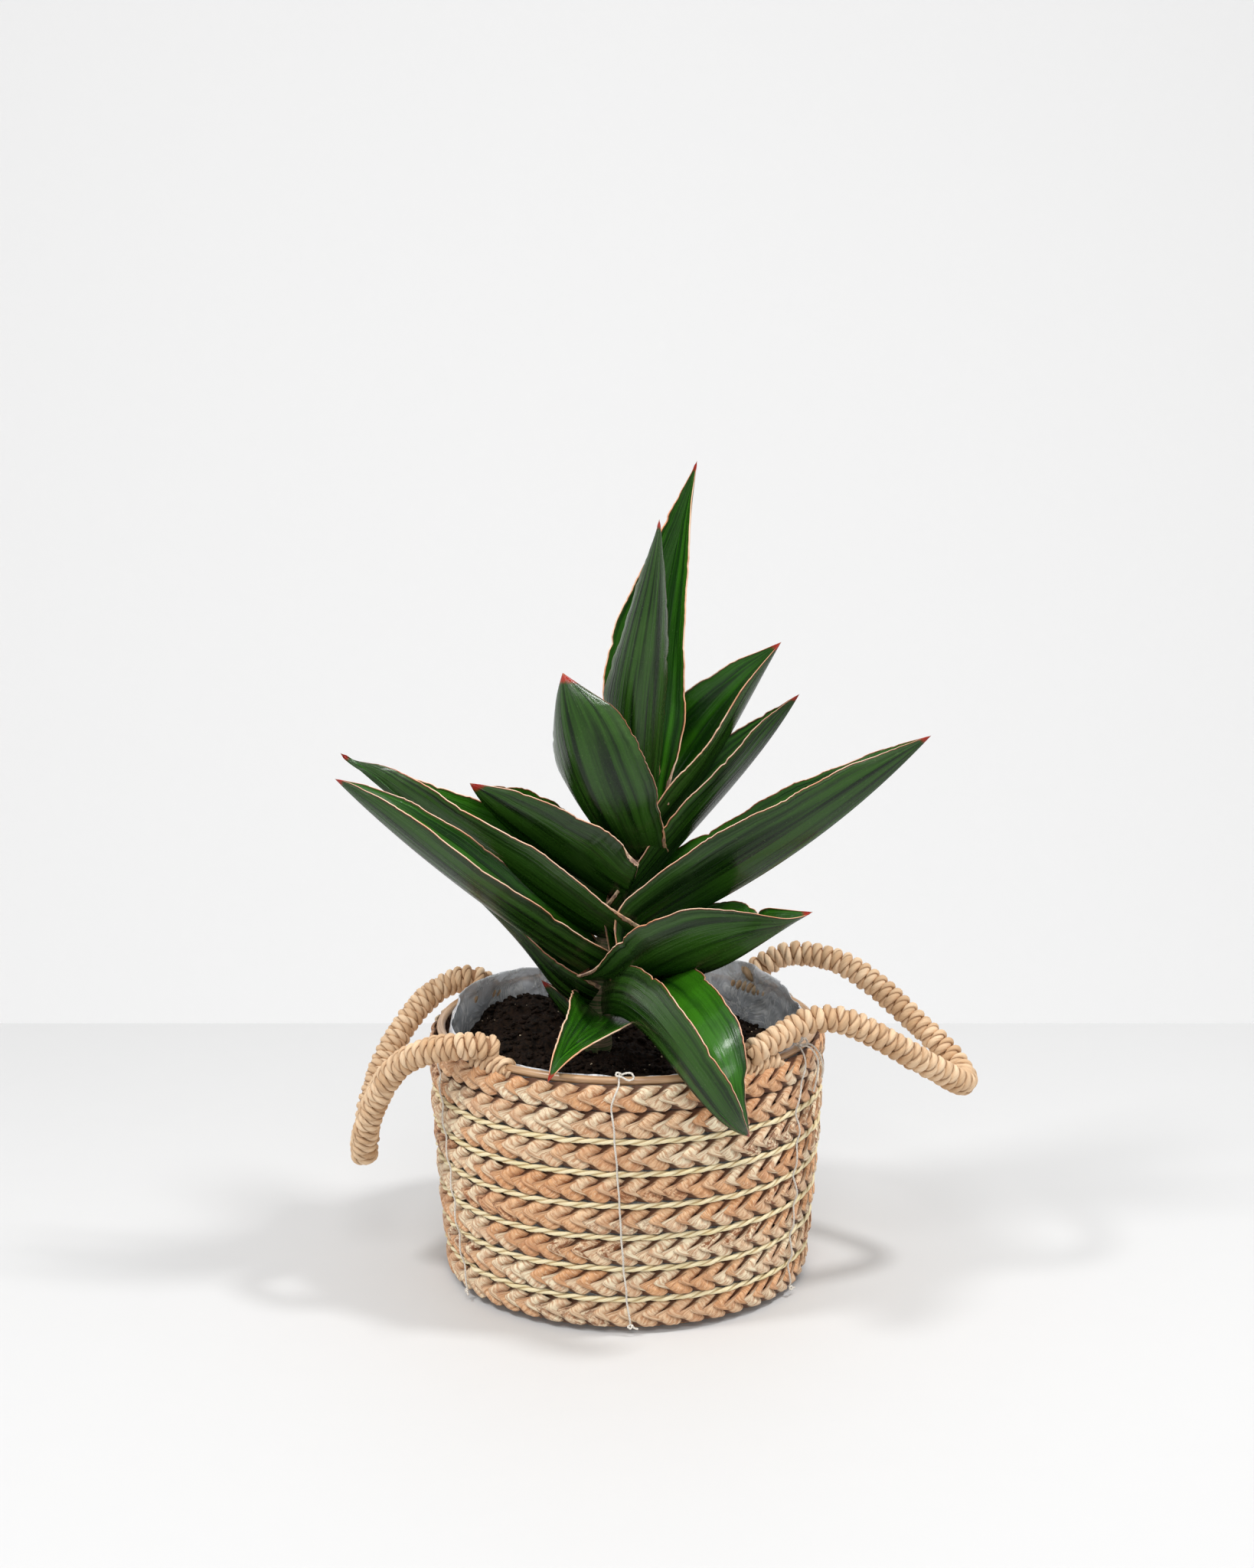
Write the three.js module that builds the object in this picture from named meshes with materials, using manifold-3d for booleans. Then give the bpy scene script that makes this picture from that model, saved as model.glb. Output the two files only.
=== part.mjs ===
// A snake plant with fourteen boat-shaped leaves, growing in compost inside a film-lined basket of plaited fibre.
// Millimetres, +Z up. The origin is the centre of the basket's underside, and -Y is the front.
import * as THREE from "three";
import { mergeVertices } from "three/addons/utils/BufferGeometryUtils.js";
import Module from "manifold-3d";

// ---- driving dimensions -------------------------------------------------------------------------
// Basket wall: plaited rows stacked on a flat base, flaring from base to rim.
const WALL_RADIUS_TOP = 110.2;
const WALL_RADIUS_BASE = 102.2;
const WALL_FLARE_POWER = 1.7; // above 1 the wall spreads low down and stands nearly upright at the rim
const ROW_COUNT = 8;
const ROW_HEIGHT = 14;
const ROW_THICKNESS = 7.6;
const ROW_GAP = 0.3;
const PIPING_DIAMETER = 3.2; // pale twisted cord laid between rows, under every row but the top one
const PIPING_STAND_OUT = 0.8; // how far a cord's centre lies outside the middle of the plaits
const BASE_THICKNESS = 4;
const BINDING_WIDTH = 5; // ring of wrapped strips round the edge of the base
const BINDING_HEIGHT = 5.4;
const BINDING_LIFT = 0.6; // the binding stays this far off the surface that the base stands on

// Rim rod, stitches and handles.
const ROD_DIAMETER = 4.6;
const ROD_INSET = 3.5; // rod centre inside the middle of the top plait
const ROD_LIFT = 1.5; // rod centre above the top of the top plait
const THREAD_DIAMETER = 1;
const HANDLE_DIAMETER = 15.2;
const STITCH_ANGLES = [-158, -94, -30, 28, 88, 128]; // degrees round the basket, -90 being the front

// Liner, compost and stem.
const FILM_THICKNESS = 0.8;
const FILM_BELOW_ROD_TOP = 0.5;
const HEADSPACE = 20.5; // from the rod's top down to the compost
const MOUND_HEIGHT = 13; // compost heaped up behind and to the left of the stem
const MOUND_SPREAD = 30;
const MOUND_CENTRE = [-50, 48];
const STEM_RADIUS_FOOT = 9;
const STEM_RADIUS_TOP = 5.5;
const STEM_HEIGHT = 142; // above the compost
const STEM_BURIED = 30;
const STEM_FOOT = [-17, 8];
const STEM_LEAN = 24; // how far the top stands to the right of the foot
const STEM_BOW = 4; // how far the middle bows to the front

// Clearances and mesh fineness.
const GAP = 0.3; // between pieces that touch
const RING_SEGMENTS = 28;
const LEAF_STATIONS = 10;
const LEAF_SIDE_POINTS = 3; // section points from the keel to each margin
const LEAF_MARGIN_THICKNESS = 1.4;

// ---- levels that follow from the sizes above ----------------------------------------------------
const ROW_FOOT = BASE_THICKNESS - ROW_GAP; // underside of the lowest plait
const ROW_STEP_PIPED = ROW_HEIGHT + PIPING_DIAMETER + 2 * ROW_GAP;
const ROW_STEP_PLAIN = ROW_HEIGHT + ROW_GAP;
const rowHeights = [...Array(ROW_COUNT).keys()].map((i) => {
  const piped = Math.min(i, ROW_COUNT - 2);
  return ROW_FOOT + ROW_HEIGHT / 2 + piped * ROW_STEP_PIPED + (i - piped) * ROW_STEP_PLAIN;
});
const TOP_ROW = rowHeights[ROW_COUNT - 1];
const ROW_MIDDLE_TOP = WALL_RADIUS_TOP - ROW_THICKNESS / 2;
const ROD_RADIUS = ROW_MIDDLE_TOP - ROD_INSET;
const ROD_HEIGHT = TOP_ROW + ROW_HEIGHT / 2 + ROD_LIFT;
const RIM_TOP = ROD_HEIGHT + ROD_DIAMETER / 2;
const SOIL_LEVEL = RIM_TOP - HEADSPACE;
const HANDLE_SEAT = RIM_TOP + GAP + HANDLE_DIAMETER / 2; // height of a handle's centre line on the rod

const radians = THREE.MathUtils.degToRad;

// Outer radius of the basket wall at a height.
function wallRadius(height) {
  const up = THREE.MathUtils.clamp((height - rowHeights[0]) / (TOP_ROW - rowHeights[0]), 0, 1);
  return WALL_RADIUS_TOP - (WALL_RADIUS_TOP - WALL_RADIUS_BASE) * (1 - up) ** WALL_FLARE_POWER;
}

// A point round the rim: angle in degrees, mm outside the top of the wall, mm above the handles' seat.
function rimPoint(angle, out, up) {
  const radius = WALL_RADIUS_TOP + out;
  return new THREE.Vector3(
    radius * Math.cos(radians(angle)),
    radius * Math.sin(radians(angle)),
    HANDLE_SEAT + up,
  );
}

// A point of the plant: mm across and mm above the compost.
const plantPoint = (x, y, up) => new THREE.Vector3(x, y, SOIL_LEVEL + up);

// ---- materials ----------------------------------------------------------------------------------
const material = (color, roughness) =>
  new THREE.MeshStandardMaterial({ color, roughness, metalness: 0 });
const plaitMaterial = material(0xd9b07c, 0.75);
const pipingMaterial = material(0xe8dc9c, 0.8);
const rodMaterial = material(0xb08a66, 0.45);
const threadMaterial = material(0xeeeae2, 0.9);
const handleMaterial = material(0xdcb98c, 0.8);
const filmMaterial = material(0xb9c4cc, 0.3);
const soilMaterial = material(0x2b2019, 0.95);
const stemMaterial = material(0x6f7d58, 0.7);
const leafMaterial = material(0x2f5a2c, 0.4);

const model = new THREE.Group();

function add(name, geometry, meshMaterial) {
  const mesh = new THREE.Mesh(geometry, meshMaterial);
  mesh.name = name;
  model.add(mesh);
  return mesh;
}

// ---- solids -------------------------------------------------------------------------------------
const wasm = await Module();
wasm.setup();

function toSolid(geometry) {
  const bare = geometry.clone();
  bare.deleteAttribute("normal");
  bare.deleteAttribute("uv");
  const merged = mergeVertices(bare, 1e-4);
  return new wasm.Manifold(
    new wasm.Mesh({
      numProp: 3,
      vertProperties: merged.attributes.position.array,
      triVerts: new Uint32Array(merged.index.array),
    }),
  );
}

function toGeometry(solid) {
  const mesh = solid.getMesh();
  const geometry = new THREE.BufferGeometry();
  geometry.setAttribute("position", new THREE.BufferAttribute(mesh.vertProperties, 3));
  geometry.setIndex(new THREE.BufferAttribute(mesh.triVerts, 1));
  geometry.computeVertexNormals();
  return geometry;
}

// The biggest of the separate bodies that a cut leaves.
function biggestBody(geometry) {
  const merged = mergeVertices(toBare(geometry), 1e-5);
  const index = merged.index.array;
  const parent = [...Array(merged.attributes.position.count).keys()];
  const find = (v) => {
    let root = v;
    while (parent[root] !== root) root = parent[root];
    while (parent[v] !== root) [parent[v], v] = [root, parent[v]];
    return root;
  };
  for (let i = 0; i < index.length; i += 3) {
    parent[find(index[i])] = find(index[i + 1]);
    parent[find(index[i + 1])] = find(index[i + 2]);
  }
  const faces = new Map();
  for (let i = 0; i < index.length; i += 3) {
    const root = find(index[i]);
    if (!faces.has(root)) faces.set(root, []);
    faces.get(root).push(index[i], index[i + 1], index[i + 2]);
  }
  const bodies = [...faces.values()].map((list) => {
    const body = merged.clone();
    body.setIndex(list);
    return body;
  });
  const size = (body) => Math.abs(toSolid(body.toNonIndexed()).volume());
  return bodies.reduce((best, body) => (size(body) > size(best) ? body : best));
}

function toBare(geometry) {
  const bare = new THREE.BufferGeometry();
  bare.setAttribute("position", geometry.getAttribute("position"));
  bare.setIndex(geometry.index);
  return bare;
}

// A solid less the room that others take up.
function cut(geometry, cutters) {
  const solid = cutters.reduce((left, cutter) => left.subtract(cutter), toSolid(geometry));
  return biggestBody(toGeometry(solid));
}

// A closed body through a row of rings with the same number of points, each ring running one way round its section.
// A ring is a front half and a back half of the same length, so the end faces are strips between the two.
function loft(rings) {
  const count = rings[0].length;
  const half = count / 2;
  const positions = rings.flat().flatMap((p) => p.toArray());
  const index = [];
  const quad = (a, b, c, d) => index.push(a, b, c, a, c, d);
  for (let i = 0; i + 1 < rings.length; i++)
    for (let j = 0; j < count; j++) {
      const next = (j + 1) % count;
      quad(i * count + j, i * count + next, (i + 1) * count + next, (i + 1) * count + j);
    }
  const last = (rings.length - 1) * count;
  for (let j = 0; j + 1 < half; j++) {
    quad(j, count - 1 - j, count - 2 - j, j + 1);
    quad(last + j, last + j + 1, last + count - 2 - j, last + count - 1 - j);
  }
  const geometry = new THREE.BufferGeometry();
  geometry.setAttribute("position", new THREE.Float32BufferAttribute(positions, 3));
  geometry.setIndex(index);
  geometry.computeVertexNormals();
  return geometry;
}

// ---- basket -------------------------------------------------------------------------------------
// A ring with an oval section, centred at a radius and height.
function ovalRing(radius, height, width, tall, sides) {
  const profile = [];
  for (let i = 0; i <= sides; i++) {
    const turn = (2 * Math.PI * (i % sides)) / sides;
    profile.push(
      new THREE.Vector2(radius + (width / 2) * Math.cos(turn), (tall / 2) * Math.sin(turn)),
    );
  }
  const geometry = new THREE.LatheGeometry(profile, RING_SEGMENTS);
  geometry.rotateX(Math.PI / 2);
  geometry.translate(0, 0, height);
  return geometry;
}

function buildBasket() {
  rowHeights.forEach((height, i) => {
    const middle = wallRadius(height) - ROW_THICKNESS / 2;
    add(`plait_row_${i + 1}`, ovalRing(middle, height, ROW_THICKNESS, ROW_HEIGHT, 8), plaitMaterial);
    if (i === 0 || i === ROW_COUNT - 1) return;
    const seam = height - ROW_HEIGHT / 2 - ROW_GAP - PIPING_DIAMETER / 2;
    const below = wallRadius(rowHeights[i - 1]) - ROW_THICKNESS / 2;
    const seamRadius = (middle + below) / 2 + PIPING_STAND_OUT;
    const piping = ovalRing(seamRadius, seam, PIPING_DIAMETER, PIPING_DIAMETER, 4);
    add(`piping_cord_${i}`, piping, pipingMaterial);
  });
  add("rim_rod", ovalRing(ROD_RADIUS, ROD_HEIGHT, ROD_DIAMETER, ROD_DIAMETER, 6), rodMaterial);

  const bindingMiddle = wallRadius(0) - ROW_THICKNESS - GAP - BINDING_WIDTH / 2;
  const binding = ovalRing(
    bindingMiddle,
    BINDING_LIFT + BINDING_HEIGHT / 2,
    BINDING_WIDTH,
    BINDING_HEIGHT,
    8,
  );
  add("base_binding", binding, plaitMaterial);
  const base = new THREE.CylinderGeometry(
    bindingMiddle - BINDING_WIDTH / 2 - GAP,
    bindingMiddle - BINDING_WIDTH / 2 - GAP,
    BASE_THICKNESS,
    RING_SEGMENTS,
  );
  base.rotateX(Math.PI / 2);
  base.translate(0, 0, BASE_THICKNESS / 2);
  add("base_mat", base, plaitMaterial);
}

// A cord or rope of one round section along its route.
function ropeGeometry(points, diameter, sides, steps) {
  const section = new THREE.Shape();
  for (let i = 0; i < sides; i++) {
    const turn = (2 * Math.PI * i) / sides;
    const corner = [(diameter / 2) * Math.cos(turn), (diameter / 2) * Math.sin(turn)];
    if (i === 0) section.moveTo(...corner);
    else section.lineTo(...corner);
  }
  section.closePath();
  const extrudePath = new THREE.CatmullRomCurve3(points, false, "centripetal");
  return new THREE.ExtrudeGeometry(section, { steps, extrudePath, curveSegments: 1 });
}

// Stitching thread: up the outside of every row, over the top plait and onto the rim rod.
function buildStitches() {
  const lift = GAP + 0.1 + THREAD_DIAMETER / 2;
  STITCH_ANGLES.forEach((angle, i) => {
    const at = (radius, height) =>
      new THREE.Vector3(radius * Math.cos(radians(angle)), radius * Math.sin(radians(angle)), height);
    const route = rowHeights.map((height) => at(wallRadius(height) + lift, height));
    route.unshift(at(wallRadius(0) + lift, rowHeights[0] - ROW_HEIGHT / 4));
    for (const turn of [35, 62]) {
      const across = ROW_THICKNESS / 2 + lift;
      const high = ROW_HEIGHT / 2 + lift;
      route.push(
        at(ROW_MIDDLE_TOP + across * Math.cos(radians(turn)), TOP_ROW + high * Math.sin(radians(turn))),
      );
    }
    const reach = ROD_DIAMETER / 2 + lift + GAP;
    for (const turn of [52, 90])
      route.push(
        at(ROD_RADIUS + reach * Math.cos(radians(turn)), ROD_HEIGHT + reach * Math.sin(radians(turn))),
      );
    add(`stitch_thread_${i + 1}`, ropeGeometry(route, THREAD_DIAMETER, 4, 24), threadMaterial);
  });
}

// Each handle is a stiff loop of rope whose two feet lie on the rim rod. The points run from the back foot
// round the drooping loop to the front foot: degrees round the basket, mm outside the wall, mm above the seat.
const LEFT_HANDLE = [
  [147, -12, 0.5],
  [148, -5, 0],
  [150, 5, -3.5],
  [156, 14, -10],
  [164, 22, -24],
  [172, 29, -41],
  [180, 34, -64],
  [185, 36, -82],
  [190, 36, -68],
  [197, 31, -40],
  [204, 23, -18],
  [212, 13, -6],
  [220, 4, -1],
  [224, -4, 0],
  [225, -12, 0.5],
];
const RIGHT_HANDLE = [
  [44, -8, 0.5],
  [42, -6, 3],
  [37, 5, 9.5],
  [31, 17, 10],
  [25, 28, 6.5],
  [18, 40, -3],
  [10, 54, -17],
  [5, 64, -27],
  [-1, 77, -39.5],
  [-6, 69, -37],
  [-11, 58, -26],
  [-16, 46, -14],
  [-21, 30, -1],
  [-26, 14, 8],
  [-31, 0, 7.5],
  [-36, -5.5, 3],
  [-43, -7, 0.5],
  [-51, -7, 0],
];

function buildHandles() {
  for (const [name, route] of [
    ["handle_left", LEFT_HANDLE],
    ["handle_right", RIGHT_HANDLE],
  ]) {
    const points = route.map(([angle, out, up]) => rimPoint(angle, out, up));
    add(name, ropeGeometry(points, HANDLE_DIAMETER, 8, 30), handleMaterial);
  }
}

// ---- liner and compost --------------------------------------------------------------------------
const FILM_FLOOR = Math.max(BASE_THICKNESS, BINDING_LIFT + BINDING_HEIGHT) + GAP;
const filmRadius = (height) =>
  Math.min(wallRadius(height) - ROW_THICKNESS, ROD_RADIUS - ROD_DIAMETER / 2) - 2 * GAP;

function buildLiner() {
  const top = RIM_TOP - FILM_BELOW_ROD_TOP;
  const heights = [FILM_FLOOR, ...rowHeights.filter((_, i) => i % 2 === 0), top];
  const outside = heights.map((height) => new THREE.Vector2(filmRadius(height), height));
  const inside = heights
    .map((height) => Math.max(height, FILM_FLOOR + FILM_THICKNESS))
    .map((height) => new THREE.Vector2(filmRadius(height) - FILM_THICKNESS, height))
    .reverse();
  const profile = [
    new THREE.Vector2(0, FILM_FLOOR),
    ...outside,
    ...inside,
    new THREE.Vector2(0, FILM_FLOOR + FILM_THICKNESS),
  ];
  const geometry = new THREE.LatheGeometry(profile, RING_SEGMENTS);
  geometry.rotateX(Math.PI / 2);
  add("liner_film", geometry, filmMaterial);
}

// Height of the compost's surface: level, with a heap behind and to the left of the stem.
function soilHeight(x, y) {
  const away = (x - MOUND_CENTRE[0]) ** 2 + (y - MOUND_CENTRE[1]) ** 2;
  return SOIL_LEVEL + MOUND_HEIGHT * Math.exp(-away / (2 * MOUND_SPREAD ** 2));
}

function soilGeometry() {
  const floor = FILM_FLOOR + FILM_THICKNESS + GAP;
  const radiusAt = (height) => filmRadius(height) - FILM_THICKNESS - GAP;
  const sides = rowHeights.filter((height, i) => i % 2 === 0 && height < SOIL_LEVEL - ROW_HEIGHT);
  const heights = [floor, ...sides, SOIL_LEVEL];
  const profile = [new THREE.Vector2(0, floor)];
  heights.forEach((height) => profile.push(new THREE.Vector2(radiusAt(height), height)));
  for (const share of [0.8, 0.6, 0.4, 0.2, 0])
    profile.push(new THREE.Vector2(radiusAt(SOIL_LEVEL) * share, SOIL_LEVEL));
  const geometry = new THREE.LatheGeometry(profile, RING_SEGMENTS);
  geometry.rotateX(Math.PI / 2);
  const position = geometry.attributes.position;
  for (let i = 0; i < position.count; i++)
    if (position.getZ(i) > SOIL_LEVEL - 0.01)
      position.setZ(i, soilHeight(position.getX(i), position.getY(i)));
  return geometry;
}

// ---- stem ---------------------------------------------------------------------------------------
// The stem's axis at a height above the compost: upright at the foot, then leaning to the right.
function onStem(up) {
  const share = THREE.MathUtils.clamp(up / STEM_HEIGHT, 0, 1);
  return plantPoint(
    STEM_FOOT[0] + STEM_LEAN * THREE.MathUtils.smoothstep(share, 0, 1),
    STEM_FOOT[1] - STEM_BOW * Math.sin(Math.PI * share),
    up,
  );
}

function stemGeometry(grow) {
  const steps = 9;
  const sides = 10;
  const rings = [];
  for (let i = 0; i <= steps; i++) {
    const along = i / steps;
    const centre = onStem(THREE.MathUtils.lerp(-STEM_BURIED, STEM_HEIGHT, along));
    centre.z += i === 0 ? -grow : i === steps ? grow : 0;
    const radius = THREE.MathUtils.lerp(STEM_RADIUS_FOOT, STEM_RADIUS_TOP, along) + grow;
    const ring = [];
    for (let j = 0; j < sides; j++) {
      const turn = (2 * Math.PI * j) / sides;
      ring.push(new THREE.Vector3(radius * Math.cos(turn), radius * Math.sin(turn), 0).add(centre));
    }
    rings.push(ring);
  }
  return loft(rings);
}

// ---- leaves -------------------------------------------------------------------------------------
// A leaf is a channel swept along its keel, the line down the middle of its outer face.
//   keel: root, two shaping points and tip of a cubic curve
//   half: arc width from keel to margin at the widest place; near and far scale one side or the other
//   face, faceTip: where the hollow side looks at the root and at the tip
//   fold, foldTip: slope in degrees of the section at the keel and at the margins
//   peak: how far along the widest place is; base: share of that width at the root
//   taper: how late the blade narrows toward the tip; thick: thickness at the keel
const v = (x, y, z) => new THREE.Vector3(x, y, z);
const LEAVES = [
  {
    name: "leaf_01_left_lowest",
    keel: [onStem(6), plantPoint(-32, 10, 12), plantPoint(-42, 13, 24), plantPoint(-48, 16, 38)],
    half: 14,
    face: v(0.7, 0, 0.7),
    fold: [25, 70],
    foldTip: [40, 85],
    peak: 0.4,
    base: 0.8,
    taper: 1.7,
    thick: 4,
  },
  {
    name: "leaf_02_front_short",
    keel: [onStem(18), plantPoint(-16, -50, 28), rimPoint(-112, -19.6, 1.5), rimPoint(-110, 8.7, -8.4)],
    half: 26,
    near: 0.85,
    far: 1.1,
    face: v(0.35, -0.16, 0.87),
    fold: [15, 42],
    foldTip: [40, 80],
    peak: 0.2,
    base: 0.95,
    taper: 1.7,
    thick: 4,
  },
  {
    name: "leaf_03_front_drooping",
    keel: [onStem(20), plantPoint(12, -100, 61), rimPoint(-78.5, 50, -16), rimPoint(-61.5, 21, -36)],
    half: 37,
    near: 0.8,
    far: 1.22,
    face: v(0.2, -0.1, 0.45),
    faceTip: v(0.8, 0, 0.6),
    fold: [48, 88],
    foldTip: [55, 88],
    peak: 0.2,
    base: 0.6,
    taper: 2.5,
    thick: 4.5,
  },
  {
    name: "leaf_04_left_lower",
    keel: [onStem(21), plantPoint(-51, 1, 36), plantPoint(-36, 5, 43), plantPoint(-91, 6, 95)],
    half: 21.5,
    face: v(0.35, 0.1, 0.7),
    faceTip: v(0.55, -0.35, 0.8),
    fold: [30, 80],
    foldTip: [37, 87],
    peak: 0.33,
    base: 0.9,
    taper: 1.5,
    thick: 4.5,
  },
  {
    name: "leaf_05_right_curved",
    keel: [onStem(44), plantPoint(50, -30, 46), plantPoint(48, -82, 73), plantPoint(97, -65, 98)],
    half: 43,
    near: 1.08,
    far: 1.24,
    face: v(-0.05, -0.25, 0.8),
    faceTip: v(0.45, 0.05, 0.35),
    fold: [9, 54],
    foldTip: [43, 81],
    peak: 0.36,
    base: 0.7,
    taper: 1.5,
    thick: 5,
  },
  {
    name: "leaf_06_left_long_lower",
    keel: [onStem(38), plantPoint(-54, -33, 74), plantPoint(-115, -55, 127), plantPoint(-155, -31, 162)],
    half: 25,
    far: 1.05,
    face: v(0.15, -0.1, 0.8),
    faceTip: v(0.7, -0.2, 0.35),
    fold: [34, 80],
    foldTip: [38, 86],
    peak: 0.54,
    base: 0.86,
    taper: 2.3,
    thick: 5,
  },
  {
    name: "leaf_07_left_long_upper",
    keel: [onStem(62), plantPoint(-44, -7, 80), plantPoint(-104, -24, 129), plantPoint(-154, -11, 172)],
    half: 35,
    near: 1.04,
    far: 1.13,
    face: v(0.3, -0.25, 0.7),
    faceTip: v(0.15, 0.05, -0.15),
    fold: [34, 84],
    foldTip: [54, 90],
    peak: 0.47,
    base: 0.8,
    taper: 1.3,
    thick: 5,
  },
  {
    name: "leaf_08_right_long",
    keel: [onStem(58), plantPoint(62, -13, 92), plantPoint(116, -10, 129), plantPoint(163, -13, 182)],
    half: 37,
    near: 1.08,
    far: 1.13,
    face: v(-0.3, 0.05, -0.2),
    faceTip: v(-0.4, 0.1, 1.05),
    fold: [22, 78],
    foldTip: [50, 90],
    peak: 0.25,
    base: 0.64,
    taper: 2.4,
    thick: 5,
  },
  {
    name: "leaf_09_left_short",
    keel: [onStem(84), plantPoint(-46, 14, 105), plantPoint(-76, -33, 142), plantPoint(-84, -23, 158)],
    half: 41,
    near: 0.94,
    far: 1.22,
    face: v(0.65, 0.1, 0.55),
    faceTip: v(0.55, 0.2, 0.75),
    fold: [8, 65],
    foldTip: [36, 84],
    peak: 0.35,
    base: 0.83,
    taper: 1.3,
    thick: 5,
  },
  {
    name: "leaf_10_right_middle",
    keel: [onStem(80), plantPoint(40, 9, 130), plantPoint(74, 40, 156), plantPoint(94, 14, 200)],
    half: 24,
    near: 1.04,
    far: 1.1,
    face: v(-0.75, -0.2, 0.65),
    faceTip: v(-0.1, -0.1, 0.8),
    fold: [28, 74],
    foldTip: [37, 87],
    peak: 0.33,
    base: 0.75,
    taper: 2.2,
    thick: 4.5,
  },
  {
    name: "leaf_11_right_upper",
    keel: [onStem(108), plantPoint(49, 40, 147), plantPoint(58, 34, 177), plantPoint(84, 18, 228)],
    half: 34,
    near: 0.97,
    far: 1.38,
    face: v(-0.85, -0.3, 0.35),
    faceTip: v(-0.65, -0.5, 0.5),
    fold: [20, 60],
    foldTip: [38, 81],
    peak: 0.23,
    base: 0.55,
    taper: 2.3,
    thick: 4.5,
  },
  {
    name: "leaf_12_upright_broad",
    keel: [onStem(106), plantPoint(-16, -34, 138), plantPoint(-36, -42, 182), plantPoint(-34, -25, 218)],
    half: 32,
    near: 0.92,
    far: 1.12,
    face: v(0.45, 0.85, 0.25),
    fold: [10, 50],
    foldTip: [20, 65],
    peak: 0.5,
    base: 0.6,
    taper: 2.8,
    thick: 4.5,
  },
  {
    name: "leaf_13_centre_front",
    keel: [onStem(134), plantPoint(-3, -30, 196), plantPoint(15, -36, 253), plantPoint(17, -14, 298)],
    half: 26,
    face: v(0, 1, 0.1),
    fold: [18, 70],
    foldTip: [35, 85],
    peak: 0.36,
    base: 0.6,
    taper: 1.7,
    thick: 5,
  },
  {
    name: "leaf_14_centre_tallest",
    keel: [onStem(136), plantPoint(2, 44, 203), plantPoint(30, 50, 268), plantPoint(38, 33, 325)],
    half: 31,
    face: v(0.1, -1, 0.15),
    faceTip: v(-0.5, -1, 0),
    fold: [12, 52],
    foldTip: [40, 80],
    peak: 0.33,
    base: 0.6,
    taper: 1.6,
    thick: 4.5,
  },
];

// Arc width from keel to margin at a share of the way along.
function leafWidth(leaf, along) {
  const rise = leaf.base + (1 - leaf.base) * Math.sin((Math.PI / 2) * Math.min(along / leaf.peak, 1));
  const fall = 1 - Math.max((along - leaf.peak) / (1 - leaf.peak), 0) ** leaf.taper;
  return leaf.half * (along < leaf.peak ? rise : fall);
}

// The leaf's solid, or the room it takes up when grow is above 0.
function leafGeometry(leaf, grow) {
  const curve = new THREE.CubicBezierCurve3(...leaf.keel);
  const faceTip = leaf.faceTip ?? leaf.face;
  const rings = [];
  for (let i = 0; i <= LEAF_STATIONS; i++) {
    const along = 1 - (1 - i / LEAF_STATIONS) ** 1.15;
    const t = Math.min(along, 0.985);
    const forward = curve.getTangent(t);
    const end = i === 0 ? -grow : i === LEAF_STATIONS ? grow : 0;
    const origin = curve.getPoint(t).addScaledVector(forward, end);
    const inward = leaf.face.clone().lerp(faceTip, t);
    inward.addScaledVector(forward, -inward.dot(forward)).normalize();
    const across = forward.clone().cross(inward);
    const atKeel = radians(THREE.MathUtils.lerp(leaf.fold[0], leaf.foldTip[0], t));
    const atMargin = radians(THREE.MathUtils.lerp(leaf.fold[1], leaf.foldTip[1], t));
    const width = leafWidth(leaf, t) + grow;
    const outside = [];
    const inside = [];
    for (let j = -LEAF_SIDE_POINTS; j <= LEAF_SIDE_POINTS; j++) {
      const side = Math.sign(j);
      const share = Math.abs(j) / LEAF_SIDE_POINTS;
      const slope = THREE.MathUtils.lerp(atKeel, atMargin, share);
      const bend = atMargin - atKeel;
      const reach = width * (side > 0 ? (leaf.near ?? 1) : (leaf.far ?? 1));
      const out = (reach * side * (Math.sin(slope) - Math.sin(atKeel))) / bend;
      const up = (reach * (Math.cos(atKeel) - Math.cos(slope))) / bend;
      const normal = inward
        .clone()
        .multiplyScalar(Math.cos(slope))
        .addScaledVector(across, -side * Math.sin(slope));
      const point = origin.clone().addScaledVector(across, out).addScaledVector(inward, up);
      const slim = Math.min(1, 0.25 + 4 * (1 - t));
      const thickness = THREE.MathUtils.lerp(leaf.thick, LEAF_MARGIN_THICKNESS, share) * slim;
      outside.push(point.clone().addScaledVector(normal, -grow));
      inside.push(point.clone().addScaledVector(normal, thickness + grow));
    }
    rings.push([...inside, ...outside.reverse()]);
  }
  return loft(rings);
}

// The leaves clasp the stem one inside another, so each is cut back by the room that the stem and the leaves
// below it take up.
function buildPlant() {
  const stem = stemGeometry(0);
  const room = [toSolid(stemGeometry(GAP))];
  add("soil", cut(soilGeometry(), room), soilMaterial);
  add("stem", stem, stemMaterial);
  for (const leaf of LEAVES) {
    add(leaf.name, cut(leafGeometry(leaf, 0), room), leafMaterial);
    room.push(toSolid(leafGeometry(leaf, GAP)));
  }
}

buildBasket();
buildStitches();
buildHandles();
buildLiner();
buildPlant();

export default model;
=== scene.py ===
"""A dwarf snake plant with boat-shaped, red-edged leaves, in a film-lined basket of plaited fibre.

The basket has two rope handles. Lengths are worked out in millimetres and go into the meshes in
metres. +Z is up and -Y is the front.
"""

import itertools
import math

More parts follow.
